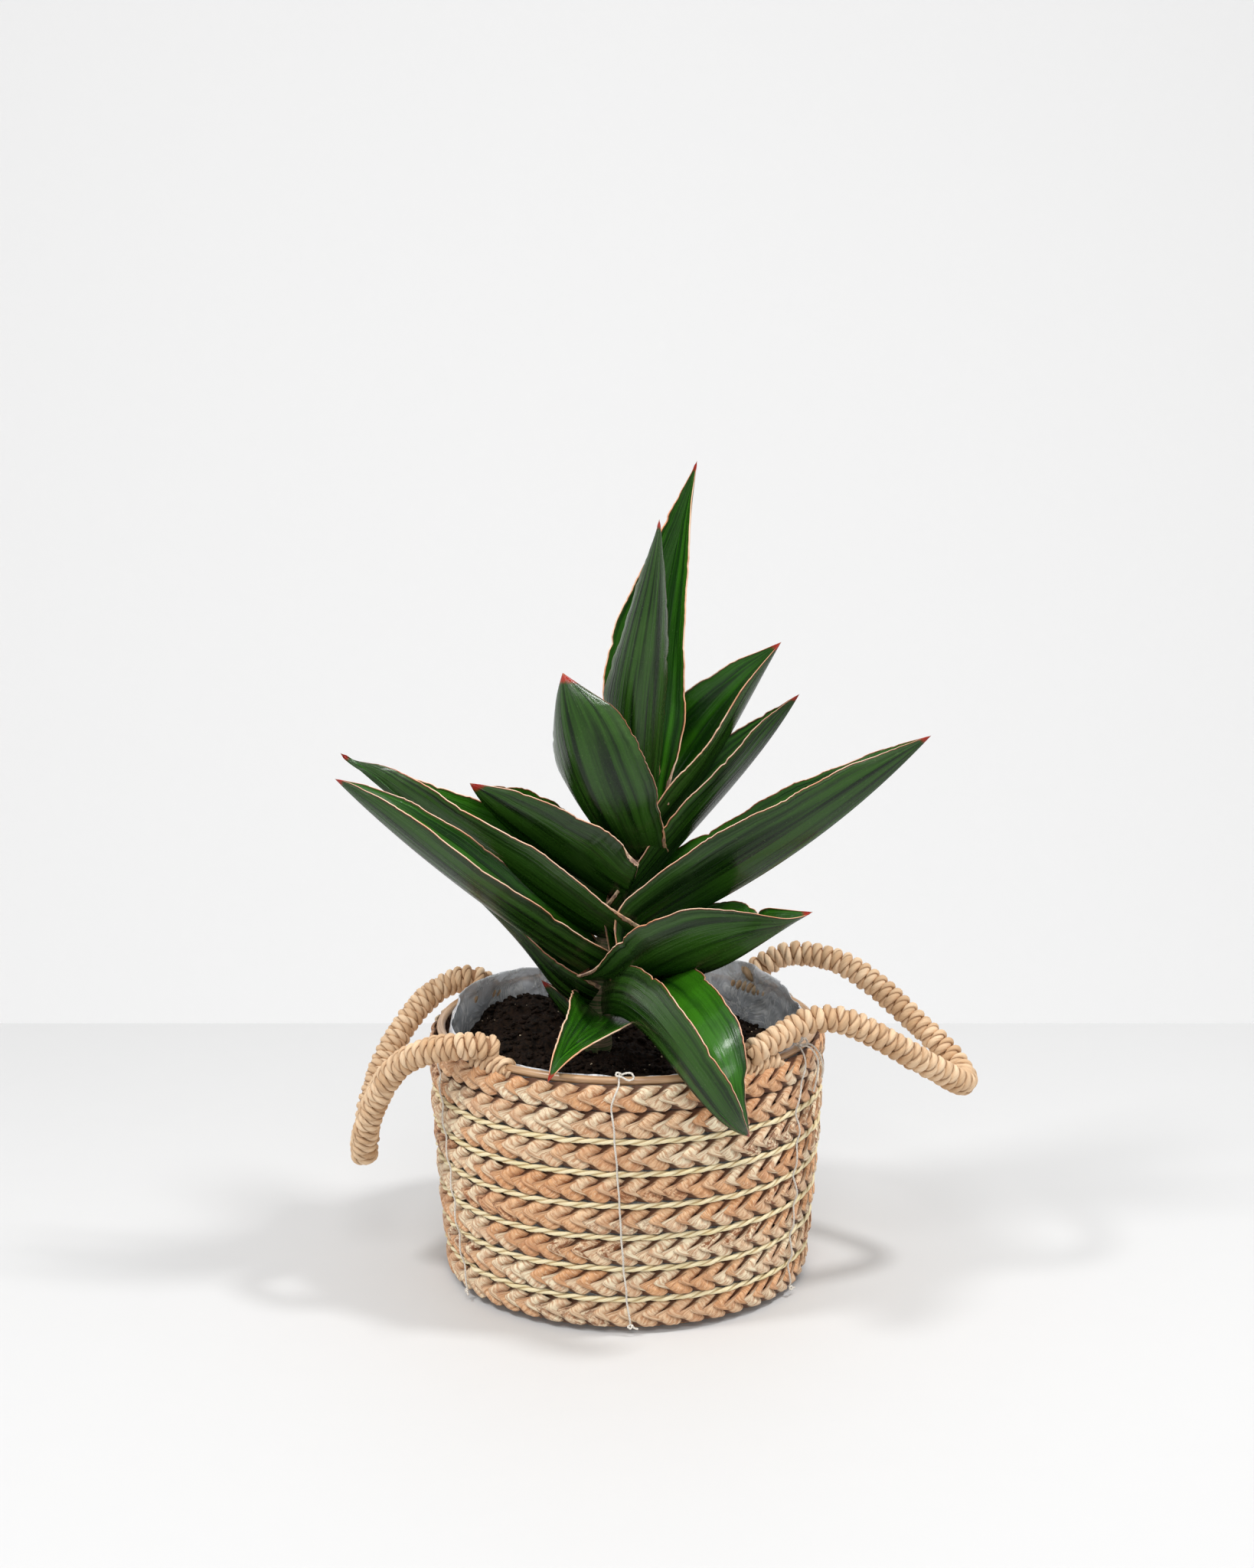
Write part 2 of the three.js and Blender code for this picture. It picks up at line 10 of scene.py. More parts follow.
import bpy
import numpy as np
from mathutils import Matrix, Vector


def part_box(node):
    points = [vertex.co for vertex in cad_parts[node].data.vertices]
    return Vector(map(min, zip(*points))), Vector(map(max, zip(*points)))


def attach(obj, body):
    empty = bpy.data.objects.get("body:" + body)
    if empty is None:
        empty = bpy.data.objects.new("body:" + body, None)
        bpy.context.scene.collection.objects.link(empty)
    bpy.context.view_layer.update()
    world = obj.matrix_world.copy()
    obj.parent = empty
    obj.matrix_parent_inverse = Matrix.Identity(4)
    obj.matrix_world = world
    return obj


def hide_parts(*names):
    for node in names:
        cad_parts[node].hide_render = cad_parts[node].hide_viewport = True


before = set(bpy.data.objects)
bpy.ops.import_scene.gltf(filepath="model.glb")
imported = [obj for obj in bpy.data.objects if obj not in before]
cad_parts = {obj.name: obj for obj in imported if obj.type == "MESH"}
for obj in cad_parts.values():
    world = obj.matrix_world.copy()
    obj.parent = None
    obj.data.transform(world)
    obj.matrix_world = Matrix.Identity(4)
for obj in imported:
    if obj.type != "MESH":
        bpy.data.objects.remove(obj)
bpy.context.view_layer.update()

MM = 0.001
TURN = 2 * math.pi


# ---- sizes in mm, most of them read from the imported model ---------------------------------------
def middle_height(node):
    """Height of the middle of a node, in mm."""
    low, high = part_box(node)
    return (low.z + high.z) / 2 / MM


def outer_reach(node):
    """How far a ring-shaped node reaches from the basket's axis, in mm."""
    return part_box(node)[1].x / MM


ROW_COUNT = 8
ROW_HEIGHT = 14
ROW_THICKNESS = 7.6
ROW_LEVELS = [middle_height(f"plait_row_{i + 1}") for i in range(ROW_COUNT)]
ROW_RADII = [outer_reach(f"plait_row_{i + 1}") for i in range(ROW_COUNT)]
PIPING_DIAMETER = 3.2
ROD_DIAMETER = 4.6
ROD_RADIUS = outer_reach("rim_rod") - ROD_DIAMETER / 2
ROD_LEVEL = middle_height("rim_rod")
RIM_TOP = ROD_LEVEL + ROD_DIAMETER / 2
WALL_RADIUS = ROW_RADII[-1]
HANDLE_DIAMETER = 15.2
HANDLE_GAP = 0.3
HANDLE_SEAT = RIM_TOP + HANDLE_GAP + HANDLE_DIAMETER / 2
SOIL_DEPTH = 20.5  # of the compost below the rod's top
SOIL_LEVEL = RIM_TOP - SOIL_DEPTH
STEM_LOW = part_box("stem")[0].z / MM
STEM_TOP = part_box("stem")[1].z / MM
STEM_HEIGHT = STEM_TOP - SOIL_LEVEL


# ---- working with numbers -----------------------------------------------------------------------
def lerp(first, second, share):
    """first at share 0, second at share 1, and evenly between."""
    return first + (second - first) * share


def smooth(value, low, high):
    """0 below low, 1 above high, and an S-curve between."""
    share = np.clip((value - low) / (high - low), 0, 1)
    return share * share * (3 - 2 * share)


def unit(vectors):
    """The vectors at length 1."""
    return vectors / np.maximum(np.linalg.norm(vectors, axis=-1, keepdims=True), 1e-9)


def round_basket(angle, radius, height):
    """Points at these angles, in radians, radii and heights round the basket's axis."""
    angle, radius, height = np.broadcast_arrays(angle, radius, height)
    return np.stack([radius * np.cos(angle), radius * np.sin(angle), height], -1)


def scatter(cells, seed):
    """A value from -1 to 1 for each whole-number cell, mixed from its coordinates so that it looks
    random."""
    mixed = np.full(cells.shape[:-1], seed * 2654435761 % 2**32, np.uint64)
    for axis, prime in zip(range(cells.shape[-1]), (374761393, 668265263, 2246822519)):
        whole = (cells[..., axis].astype(np.int64) & 0xFFFFFFFF).astype(np.uint64)
        mixed = (mixed ^ whole * prime) & 0xFFFFFFFF
        mixed = (mixed ^ (mixed >> np.uint64(15))) * np.uint64(2246822519) & np.uint64(0xFFFFFFFF)
    mixed = mixed ^ (mixed >> np.uint64(13))
    return mixed.astype(float) / 2**31 - 1


def cloud(points, seed=0):
    """Smooth noise from -1 to 1: random values at the corners of unit cubes, blended by S-curves."""
    points = np.asarray(points, float)
    base = np.floor(points)
    share = points - base
    share = share * share * (3 - 2 * share)
    total = 0
    for corner in itertools.product((0, 1), repeat=points.shape[-1]):
        weight = np.prod(np.where(corner, share, 1 - share), axis=-1)
        total = total + weight * scatter(base + corner, seed)
    return total


def layered_cloud(points, seed=0, layers=3):
    """Noise at several scales, each half the size and half the height of the one before."""
    return sum(cloud(points * 2**i, seed + i) / 2**i for i in range(layers))


def creases(points, seed=0, layers=3):
    """Sharp ridges from 0 to about 1: one less the size of the noise, highest where it changes sign."""
    return sum((1 - np.abs(cloud(points * 1.9**i, seed + i)) * 2.2) / 2**i for i in range(layers)) / 2


def ring_wobble(angle, seed, waves=(2, 9)):
    """A smooth wobble of about -1 to 1 round a ring: sines of whole frequencies, sized at random."""
    rng = np.random.default_rng(seed)
    return sum(
        rng.uniform(0.3, 1) * np.sin(k * angle + rng.uniform(0, TURN)) for k in range(*waves)
    ) / math.sqrt(waves[1] - waves[0])


def smooth_route(knots, count):
    """count points, evenly spaced, along a centripetal Catmull-Rom curve through every knot."""
    knots = np.asarray(knots, float)
    ends = (2 * knots[0] - knots[1], 2 * knots[-1] - knots[-2])
    padded = np.vstack([ends[0], knots, ends[1]])
    gaps = np.sqrt(np.linalg.norm(np.diff(padded, axis=0), axis=1))
    pieces = []
    for i in range(1, len(padded) - 2):
        p0, p1, p2, p3 = padded[i - 1 : i + 3]
        t1 = gaps[i - 1]
        t2 = t1 + gaps[i]
        t3 = t2 + gaps[i + 1]
        t = np.linspace(t1, t2, 24, endpoint=False)[:, None]
        a1 = (t1 - t) / t1 * p0 + t / t1 * p1
        a2 = (t2 - t) / (t2 - t1) * p1 + (t - t1) / (t2 - t1) * p2
        a3 = (t3 - t) / (t3 - t2) * p2 + (t - t2) / (t3 - t2) * p3
        b1 = (t2 - t) / t2 * a1 + t / t2 * a2
        b2 = (t3 - t) / (t3 - t1) * a2 + (t - t1) / (t3 - t1) * a3
        pieces.append((t2 - t) / (t2 - t1) * b1 + (t - t1) / (t2 - t1) * b2)
    dense = np.vstack([*pieces, padded[-2]])
    run = np.concatenate([[0], np.cumsum(np.linalg.norm(np.diff(dense, axis=0), axis=1))])
    at = np.linspace(0, run[-1], count)
    return np.stack([np.interp(at, run, dense[:, k]) for k in range(3)], -1)


def run_length(path):
    """Length along a path up to each of its points."""
    steps = np.linalg.norm(np.diff(path, axis=0), axis=1)
    return np.concatenate([[0], np.cumsum(steps)])


# ---- meshes -------------------------------------------------------------------------------------
class Surface:
    """Gathers grids of points into one mesh, with a UV map and named values at its points."""

    def __init__(self):
        self.points, self.faces, self.uvs, self.values, self.count = [], [], [], {}, 0

    def grid(self, points, uv, wrap=(False, False), caps=False, **values):
        """Adds a grid of rows and columns of points. A wrapped direction joins its last line to its
        first, and uv then has one line more than points there. caps closes the first and last row of a
        tube with a fan."""
        rows, cols = points.shape[:2]
        spans = [size if wrapped else size - 1 for size, wrapped in zip((rows, cols), wrap)]
        i, j = np.meshgrid(np.arange(spans[0]), np.arange(spans[1]), indexing="ij")
        i, j = i.ravel(), j.ravel()
        corners = [(i, j), (i, j + 1), (i + 1, j + 1), (i + 1, j)]
        quads = np.stack([(a % rows) * cols + b % cols for a, b in corners], -1) + self.count
        self.faces += quads.tolist()
        self.uvs.append(np.stack([uv[a, b] for a, b in corners], 1).reshape(-1, 2))
        flat = points.reshape(-1, 3)
        extra = []
        if caps:
            for row, order in ((0, -1), (rows - 1, 1)):
                centre = self.count + len(flat) + len(extra)
                extra.append(points[row].mean(0))
                ring = np.arange(cols)[::order] + row * cols + self.count
                fan = np.stack([ring, np.roll(ring, -1), np.full(cols, centre)], -1)
                self.faces += fan.tolist()
                self.uvs.append(np.repeat(uv[row, :1], 3 * cols, axis=0))
            flat = np.vstack([flat, extra])
        for name, value in values.items():
            spread = np.broadcast_to(value, (rows, cols)).ravel()
            if caps:
                spread = np.concatenate([spread, [spread[0], spread[-1]]])
            self.values.setdefault(name, []).append(spread)
        self.points.append(flat)
        self.count += len(flat)
        return self

    def blobs(self, centres, sizes, stretch, seed, **values):
        """Adds small closed lumps: three six-sided rings between two tips, pushed about at random."""
        rng = np.random.default_rng(seed)
        sides = 6
        turn = np.arange(sides) * TURN / sides
        rings = [np.stack([np.cos(turn + k) * r, np.sin(turn + k) * r, np.full(sides, z)], -1)
                 for k, r, z in ((0, 0.75, -0.5), (0.5, 1.0, 0.05), (0, 0.65, 0.6))]
        shape = np.vstack([[[0, 0, -0.85]], *rings, [[0, 0, 0.95]]])
        faces = [[0, 1 + (j + 1) % sides, 1 + j] for j in range(sides)]
        for k in range(2):
            a = 1 + k * sides
            for j in range(sides):
                after = a + (j + 1) % sides
                faces.append([a + j, after, after + sides, a + sides + j])
        top = 1 + 2 * sides
        faces += [[top + j, top + (j + 1) % sides, top + sides] for j in range(sides)]
        count = len(centres)
        rough = shape * rng.uniform(0.65, 1.3, (count, len(shape), 1)) * stretch
        spin = rng.uniform(0, TURN, count)
        tilt = rng.uniform(-0.9, 0.9, count)
        x, y, z = rough[..., 0], rough[..., 1], rough[..., 2]
        y, z = (y * np.cos(tilt)[:, None] - z * np.sin(tilt)[:, None],
                y * np.sin(tilt)[:, None] + z * np.cos(tilt)[:, None])
        x, y = (x * np.cos(spin)[:, None] - y * np.sin(spin)[:, None],
                x * np.sin(spin)[:, None] + y * np.cos(spin)[:, None])
        points = np.stack([x, y, z], -1) * np.asarray(sizes)[:, None, None] + centres[:, None]
        for k in range(count):
            offset = self.count + k * len(shape)
            self.faces += [[v + offset for v in face] for face in faces]
        corners = sum(len(face) for face in faces)
        self.uvs.append(np.tile(rng.uniform(0, 1, (count, 1, 2)), (1, corners, 1)).reshape(-1, 2))
        for name, value in values.items():
            spread = np.repeat(np.broadcast_to(value, (count,)), len(shape))
            self.values.setdefault(name, []).append(spread)
        self.points.append(points.reshape(-1, 3))
        self.count += count * len(shape)
        return self

    def piece(self, name, finish, node_names):
        """Makes the object, which rides on the root body and stands for the CAD nodes named."""
        mesh = bpy.data.meshes.new(name)
        mesh.from_pydata((np.vstack(self.points) * MM).tolist(), [], self.faces)
        layer = mesh.uv_layers.new(name="strip")
        layer.data.foreach_set("uv", np.vstack(self.uvs).astype(np.float32).ravel())
        for key, value in self.values.items():
            made = mesh.attributes.new(key, "FLOAT", "POINT")
            made.data.foreach_set("value", np.concatenate(value).astype(np.float32))
        mesh.polygons.foreach_set("use_smooth", np.full(len(mesh.polygons), True))
        mesh.materials.append(finish)
        mesh.update()
        made = bpy.data.objects.new(name, mesh)
        bpy.context.scene.collection.objects.link(made)
        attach(made, "root")
        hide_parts(*node_names)
        return made


def tube(path, side, wide, rise, deep, sides=8):
    """Rings of an oval section along a path: path + wide cos(a) side + deep sin(a) rise, with a going
    once round."""
    turn = np.arange(sides) * TURN / sides
    wide = np.broadcast_to(wide, path.shape[:1])[:, None, None]
    deep = np.broadcast_to(deep, path.shape[:1])[:, None, None]
    return (
        path[:, None]
        + wide * np.cos(turn)[None, :, None] * side[:, None]
        + deep * np.sin(turn)[None, :, None] * rise[:, None]
    )


def strip_uv(along, sides, closed=False, length=0, offset=0):
    """UV for a tube: how far along in cm, and the share of the way round."""
    if closed:
        along = np.append(along, length)
    u, v = np.meshgrid(along / 10 + offset, np.arange(sides + 1) / sides, indexing="ij")
    return np.stack([u, v], -1)


def directions(path, closed=False):
    """Unit directions of travel along a path."""
    if closed:
        return unit(np.roll(path, -1, axis=0) - np.roll(path, 1, axis=0))
    return unit(np.gradient(path, axis=0))


# ---- finishes -----------------------------------------------------------------------------------
def paint(red, green, blue):
    """A colour given as 0 to 255 on a screen, as the light values that a shader takes."""
    shares = [c / 255 for c in (red, green, blue)]
    return (*(s / 12.92 if s <= 0.04045 else ((s + 0.055) / 1.055) ** 2.4 for s in shares), 1)


class Finish:
    """Builds a node material. Each method adds a node and returns its output."""

    def __init__(self, name):
        self.material = bpy.data.materials.new(name)
        self.material.use_nodes = True
        self.tree = self.material.node_tree
        self.tree.nodes.clear()

    def feed(self, socket, value):
        if isinstance(value, bpy.types.NodeSocket):
            self.tree.links.new(value, socket)
        else:
            socket.default_value = value

    def node(self, kind, feeds=None, **settings):
        made = self.tree.nodes.new(kind)
        for key, value in settings.items():
            setattr(made, key, value)
        for key, value in (feeds or {}).items():
            self.feed(made.inputs[key], value)
        return made

    def value_of(self, name):
        return self.node("ShaderNodeAttribute", attribute_name=name).outputs["Fac"]

    def strip(self):
        return self.node("ShaderNodeUVMap", uv_map="strip").outputs["UV"]

    def place(self):
        return self.node("ShaderNodeTexCoord").outputs["Object"]

    def stretch(self, vector, by):
        return self.node("ShaderNodeVectorMath", {0: vector, 1: by}, operation="MULTIPLY").outputs[0]

    def join(self, x=0.0, y=0.0, z=0.0):
        return self.node("ShaderNodeCombineXYZ", {"X": x, "Y": y, "Z": z}).outputs[0]

    def math(self, operation, first, second=0.0, third=0.0):
        feeds = {0: first, 1: second, 2: third}
        return self.node("ShaderNodeMath", feeds, operation=operation).outputs[0]

    def noise(self, vector, scale=1.0, detail=3.0, rough=0.5, twist=0.0):
        feeds = {
            "Vector": vector, "Scale": scale, "Detail": detail, "Roughness": rough, "Distortion": twist
        }
        return self.node("ShaderNodeTexNoise", feeds).outputs["Fac"]

    def ease(self, value, low, high, start=0.0, end=1.0):
        """start below low, end above high, and an S-curve between."""
        feeds = {"Value": value, "From Min": low, "From Max": high, "To Min": start, "To Max": end}
        return self.node("ShaderNodeMapRange", feeds, interpolation_type="SMOOTHSTEP").outputs["Result"]

    def mix(self, share, first, second):
        """first at share 0 and second at share 1: the inputs are the colour pair of the Mix node."""
        made = self.node("ShaderNodeMix", data_type="RGBA")
        self.feed(made.inputs[0], share)
        self.feed(made.inputs[6], first)
        self.feed(made.inputs[7], second)
        return made.outputs[2]

    def bump(self, height, distance, strength=1.0, normal=None):
        feeds = {"Height": height, "Distance": distance, "Strength": strength}
        if normal is not None:
            feeds["Normal"] = normal
        return self.node("ShaderNodeBump", feeds).outputs["Normal"]

    def done(self, **feeds):
        """A Principled surface with these sockets, spaces written as underscores."""
        feeds = {key.replace("_", " "): value for key, value in feeds.items()}
        shader = self.node("ShaderNodeBsdfPrincipled", feeds)
        out = self.node("ShaderNodeOutputMaterial")
        self.tree.links.new(shader.outputs[0], out.inputs[0])
        return self.material


def plait_finish():
    """Flat strips of dried leaf: tan, with fibres along the strip, a tone for each petal, and brown
    marks, and painted shade darkening the creases where a strand sinks and along its edges."""
    f = Finish("dried leaf plait")
    strip = f.strip()
    tone = f.value_of("tone")
    # deep is painted shade: how far a point sinks into the weave or lies at a strand's edge
    deep = f.value_of("deep")
    stain = f.value_of("stain")
    fibres = f.noise(f.stretch(strip, (0.9, 26.0, 1.0)), 1.0, 4.0, 0.6)
    fine = f.noise(f.stretch(strip, (2.2, 75.0, 1.0)), 1.0, 3.0, 0.6)
    patches = f.noise(f.stretch(f.place(), (60.0, 60.0, 60.0)), 1.0, 3.0, 0.55)
    colour = f.mix(f.ease(tone, -1.0, 1.0), paint(232, 176, 126), paint(255, 240, 206))
    colour = f.mix(f.ease(fibres, 0.4, 0.62, 0.0, 0.75), colour, paint(184, 122, 76))
    colour = f.mix(f.ease(fine, 0.5, 0.7, 0.0, 0.6), colour, paint(255, 232, 200))
    colour = f.mix(f.ease(patches, 0.5, 0.72, 0.0, 0.45), colour, paint(206, 146, 104))
    blotches = f.noise(f.stretch(strip, (3.0, 9.0, 1.0)), 1.0, 4.0, 0.7)
    marks = f.math("MULTIPLY", stain, f.ease(blotches, 0.45, 0.6))
    colour = f.mix(marks, colour, paint(140, 84, 48))
    # Painted shade: dark brown where a strand sinks behind the others and along its edges.
    colour = f.mix(f.ease(deep, 0.25, 0.85, 0.0, 0.95), colour, paint(88, 48, 24))
    height = f.math("ADD", f.math("MULTIPLY", fibres, 0.7), f.math("MULTIPLY", fine, 0.3))
    return f.done(
        Base_Color=colour,
        Roughness=f.ease(fibres, 0.3, 0.7, 0.5, 0.72),
        Specular_IOR_Level=0.35,
        Normal=f.bump(height, 0.0014, 0.85),
        Sheen_Weight=0.08,
    )


def piping_finish():
    """Pale yellow grass cord with fine fibres, and browner painted shade in its grooves."""
    f = Finish("yellow grass cord")
    strip = f.strip()
    fibres = f.noise(f.stretch(strip, (1.5, 16.0, 1.0)), 1.0, 4.0, 0.6)
    patches = f.noise(f.stretch(f.place(), (70.0, 70.0, 70.0)), 1.0, 2.0, 0.5)
    colour = f.mix(f.ease(fibres, 0.35, 0.7), paint(255, 243, 208), paint(240, 221, 170))
    colour = f.mix(f.ease(patches, 0.5, 0.7, 0.0, 0.5), colour, paint(236, 220, 164))
    # Painted shade: browner where the cord's plies meet (deep).
    colour = f.mix(f.ease(f.value_of("deep"), 0.2, 1.0, 0.0, 0.6), colour, paint(196, 164, 108))
    return f.done(
        Base_Color=colour, Roughness=0.7, Specular_IOR_Level=0.3, Normal=f.bump(fibres, 0.0007, 0.6)
    )


def rod_finish():
    """Light brown cane with long grain under thin varnish."""
    f = Finish("varnished cane")
    strip = f.strip()
    grain = f.noise(f.stretch(strip, (0.25, 9.0, 1.0)), 1.0, 4.0, 0.6)
    marks = f.noise(f.stretch(strip, (0.5, 2.0, 1.0)), 1.0, 2.0, 0.5)
    colour = f.mix(f.ease(grain, 0.35, 0.65), paint(196, 158, 118), paint(158, 120, 84))
    colour = f.mix(f.ease(marks, 0.58, 0.75, 0.0, 0.6), colour, paint(128, 92, 62))
    return f.done(
        Base_Color=colour,
        Roughness=f.ease(grain, 0.3, 0.7, 0.32, 0.45),
        Coat_Weight=0.5,
        Coat_Roughness=0.18,
        Normal=f.bump(grain, 0.0004, 0.4),
    )


def thread_finish():
    """Undyed cotton, twisted from fine fibres."""
    f = Finish("cotton thread")
    fibres = f.noise(f.stretch(f.strip(), (18.0, 5.0, 1.0)), 1.0, 3.0, 0.6)
    colour = f.mix(f.ease(fibres, 0.35, 0.7), paint(246, 241, 232), paint(206, 196, 180))
    return f.done(Base_Color=colour, Roughness=0.9, Sheen_Weight=0.2, Normal=f.bump(fibres, 0.0003, 0.5))


def rope_finish():
    """Twisted paper cord: pale tan, with creases along each ply and painted shade darkening the grooves
    between turns.
    """
    f = Finish("twisted paper cord")
    strip = f.strip()
    folds = f.noise(f.stretch(strip, (0.7, 7.0, 1.0)), 1.0, 4.0, 0.65, 0.6)
    fine = f.noise(f.stretch(strip, (2.0, 30.0, 1.0)), 1.0, 3.0, 0.6)
    patches = f.noise(f.stretch(f.place(), (90.0, 90.0, 90.0)), 1.0, 2.0, 0.5)
    colour = f.mix(f.ease(f.value_of("tone"), -1.0, 1.0), paint(208, 171, 132), paint(240, 210, 174))
    colour = f.mix(f.ease(folds, 0.5, 0.72, 0.0, 0.6), colour, paint(196, 156, 116))
    colour = f.mix(f.ease(patches, 0.5, 0.75, 0.0, 0.3), colour, paint(204, 160, 112))
    # Painted shade: dark brown in the grooves between the plies and turns (deep).
    colour = f.mix(f.ease(f.value_of("deep"), 0.2, 1.0, 0.0, 0.8), colour, paint(138, 96, 62))
    height = f.math("ADD", f.math("MULTIPLY", folds, 0.8), f.math("MULTIPLY", fine, 0.2))
    return f.done(
        Base_Color=colour, Roughness=0.68, Specular_IOR_Level=0.35, Normal=f.bump(height, 0.0014, 0.75)
    )


def film_finish():
    """Thin clear film: lets most light through, milky where it creases, with sharp gloss."""
    f = Finish("crumpled clear film")
    place = f.place()
    fold = f.value_of("fold")
    veins = f.noise(f.stretch(place, (55.0, 55.0, 38.0)), 1.0, 4.0, 0.65, 1.2)
    streak = f.ease(f.math("ABSOLUTE", f.math("SUBTRACT", veins, 0.5)), 0.0, 0.05, 1.0, 0.0)
    milk = f.math("MAXIMUM", f.math("MULTIPLY", streak, 0.75), f.ease(fold, 0.55, 1.0))
    colour = f.mix(milk, paint(224, 228, 234), paint(255, 255, 255))
    return f.done(
        Base_Color=colour,
        Roughness=0.22,
        Alpha=f.math("MULTIPLY_ADD", milk, 0.32, 0.66),
        Specular_IOR_Level=0.7,
        Normal=f.bump(veins, 0.004, 0.55),
    )


def compost_finish():
    """Damp peat: near black with brown fibres and crumbs, and a few pale grains."""
    f = Finish("damp compost")
    place = f.place()
    crumbs = f.noise(f.stretch(place, (420.0, 420.0, 420.0)), 1.0, 4.0, 0.7)
    wide = f.noise(f.stretch(place, (80.0, 80.0, 80.0)), 1.0, 3.0, 0.6)
    colour = f.mix(f.ease(crumbs, 0.35, 0.7), paint(9, 6, 4), paint(50, 36, 26))
    colour = f.mix(f.ease(wide, 0.45, 0.7, 0.0, 0.6), colour, paint(38, 26, 20))
    colour = f.mix(f.value_of("pale"), colour, paint(196, 178, 150))
    return f.done(
        Base_Color=colour,
        Roughness=f.ease(crumbs, 0.3, 0.7, 0.75, 0.95),
        Specular_IOR_Level=0.12,
        Normal=f.bump(crumbs, 0.0012, 0.9),
    )


def stem_finish():
    """Short green stem with ring scars and dry, pinkish-brown skin."""
    f = Finish("stem with dry scars")
    strip = f.strip()
    rings = f.noise(f.stretch(strip, (9.0, 1.0, 1.0)), 1.0, 3.0, 0.6)
    skin = f.noise(f.stretch(f.place(), (160.0, 160.0, 60.0)), 1.0, 4.0, 0.6)
    colour = f.mix(f.ease(rings, 0.42, 0.6), paint(64, 92, 44), paint(150, 128, 104))
    colour = f.mix(f.ease(skin, 0.5, 0.7, 0.0, 0.7), colour, paint(172, 138, 120))
    relief = f.bump(f.math("ADD", rings, skin), 0.0008, 0.6)
    return f.done(Base_Color=colour, Roughness=0.65, Normal=relief)


def leaf_finish():
    """Thick waxy leaf. The outer face is dark green with darker stripes along it, and grey-green towards
    its sides, partly a waxy coat and partly painted sheen; the hollow face is brighter. The margin is
    cream beside a red-brown line, ragged and dry near the root, and the tip is a red thorn."""
    f = Finish("waxy leaf")
    across = f.value_of("across")
    along = f.value_of("along")
    hollow = f.value_of("hollow")
    margin = f.value_of("margin_mm")
    tip = f.value_of("tip_mm")
    root = f.value_of("root_mm")
    shade = f.value_of("shade")
    broad = f.join(f.math("MULTIPLY", across, 6.5), f.math("MULTIPLY", along, 1.1), shade)
    narrow = f.join(f.math("MULTIPLY", across, 22.0), f.math("MULTIPLY", along, 1.6), shade)
    stripes = f.noise(broad, 1.0, 3.0, 0.55)
    ribs = f.noise(narrow, 1.0, 3.0, 0.6)
    mottle = f.noise(f.stretch(f.place(), (34.0, 34.0, 34.0)), 1.0, 4.0, 0.6)
    pores = f.noise(f.stretch(f.place(), (900.0, 900.0, 900.0)), 1.0, 2.0, 0.5)

    outer = f.mix(f.ease(stripes, 0.36, 0.62), paint(10, 30, 5), paint(44, 80, 22))
    outer = f.mix(f.ease(ribs, 0.55, 0.75, 0.0, 0.5), outer, paint(6, 16, 5))
    outer = f.mix(f.ease(mottle, 0.5, 0.75, 0.0, 0.16), outer, paint(72, 98, 52))
    # Painted sheen, partly real bloom: the outer face turns grey-green towards its sides, where gloss would
    # reflect the light.
    outside = f.ease(f.math("ABSOLUTE", across), 0.6, 1.0, 0.0, 0.2)
    bloom_and_sheen = f.math("MULTIPLY", outside, f.ease(ribs, 0.35, 0.6))
    outer = f.mix(bloom_and_sheen, outer, paint(92, 120, 76))
    inner = f.mix(f.ease(stripes, 0.35, 0.65), paint(18, 56, 8), paint(52, 112, 18))
    inner = f.mix(f.ease(mottle, 0.48, 0.72, 0.0, 0.4), inner, paint(14, 44, 8))
    colour = f.mix(hollow, outer, inner)
    colour = f.mix(f.ease(pores, 0.62, 0.8, 0.0, 0.18), colour, paint(120, 150, 90))

    rough_edge = f.noise(f.stretch(f.place(), (300.0, 300.0, 300.0)), 1.0, 3.0, 0.6)
    dry = f.ease(root, 10.0, 28.0, 1.0, 0.0)
    reach = f.math("MULTIPLY", f.math("MULTIPLY", dry, rough_edge), 3.8)
    scaled = f.math("SUBTRACT", margin, reach)
    colour = f.mix(f.ease(scaled, 0.5, 0.95, 1.0, 0.0), colour, paint(92, 34, 20))
    cream = f.mix(f.ease(mottle, 0.4, 0.65), paint(240, 206, 176), paint(222, 158, 116))
    cream = f.mix(f.math("MULTIPLY", dry, f.ease(rough_edge, 0.4, 0.6)), cream, paint(168, 132, 118))
    colour = f.mix(f.ease(scaled, 0.22, 0.42, 1.0, 0.0), colour, cream)
    thorn = f.mix(f.ease(tip, 0.0, 2.2), paint(176, 120, 90), paint(150, 34, 22))
    thorn = f.mix(f.ease(mottle, 0.4, 0.7, 0.0, 0.4), thorn, paint(196, 70, 40))
    ragged_tip = f.math("MULTIPLY_ADD", rough_edge, 3.0, tip)
    colour = f.mix(f.ease(ragged_tip, 5.0, 8.0, 1.0, 0.0), colour, thorn)

    height = f.math("ADD", stripes, f.math("MULTIPLY", ribs, 0.45))
    relief = f.bump(height, 0.0016, 0.55)
    return f.done(
        Base_Color=colour,
        Roughness=f.ease(mottle, 0.35, 0.7, 0.2, 0.33),
        Specular_IOR_Level=0.28,
        Coat_Weight=0.12,
        Coat_Roughness=0.1,
        Normal=f.bump(pores, 0.0002, 0.25, relief),
    )


# ---- basket -------------------------------------------------------------------------------------
PLAIT_PERIODS = 16  # how often a strand crosses and returns round the basket: 48 petals at each edge
PLAIT_SWING = 4.7  # how far a strand swings to each edge
PLAIT_DIVE = 1.7  # how far it rises to the front and sinks to the back
STRAND_HALF_WIDTH = 5.2
STRAND_HALF_THICKNESS = 1.15
STRAND_ROLL = 0.26  # how steeply a strand's leading edge is raised, per mm across it
PETAL_RAKE = 1.5  # how much the petals are raked back, which steepens their edges
ZIGZAG_SHARPNESS = 0.96  # of a strand's swing: 0 would be a sine and 1 straight runs with sharp turns


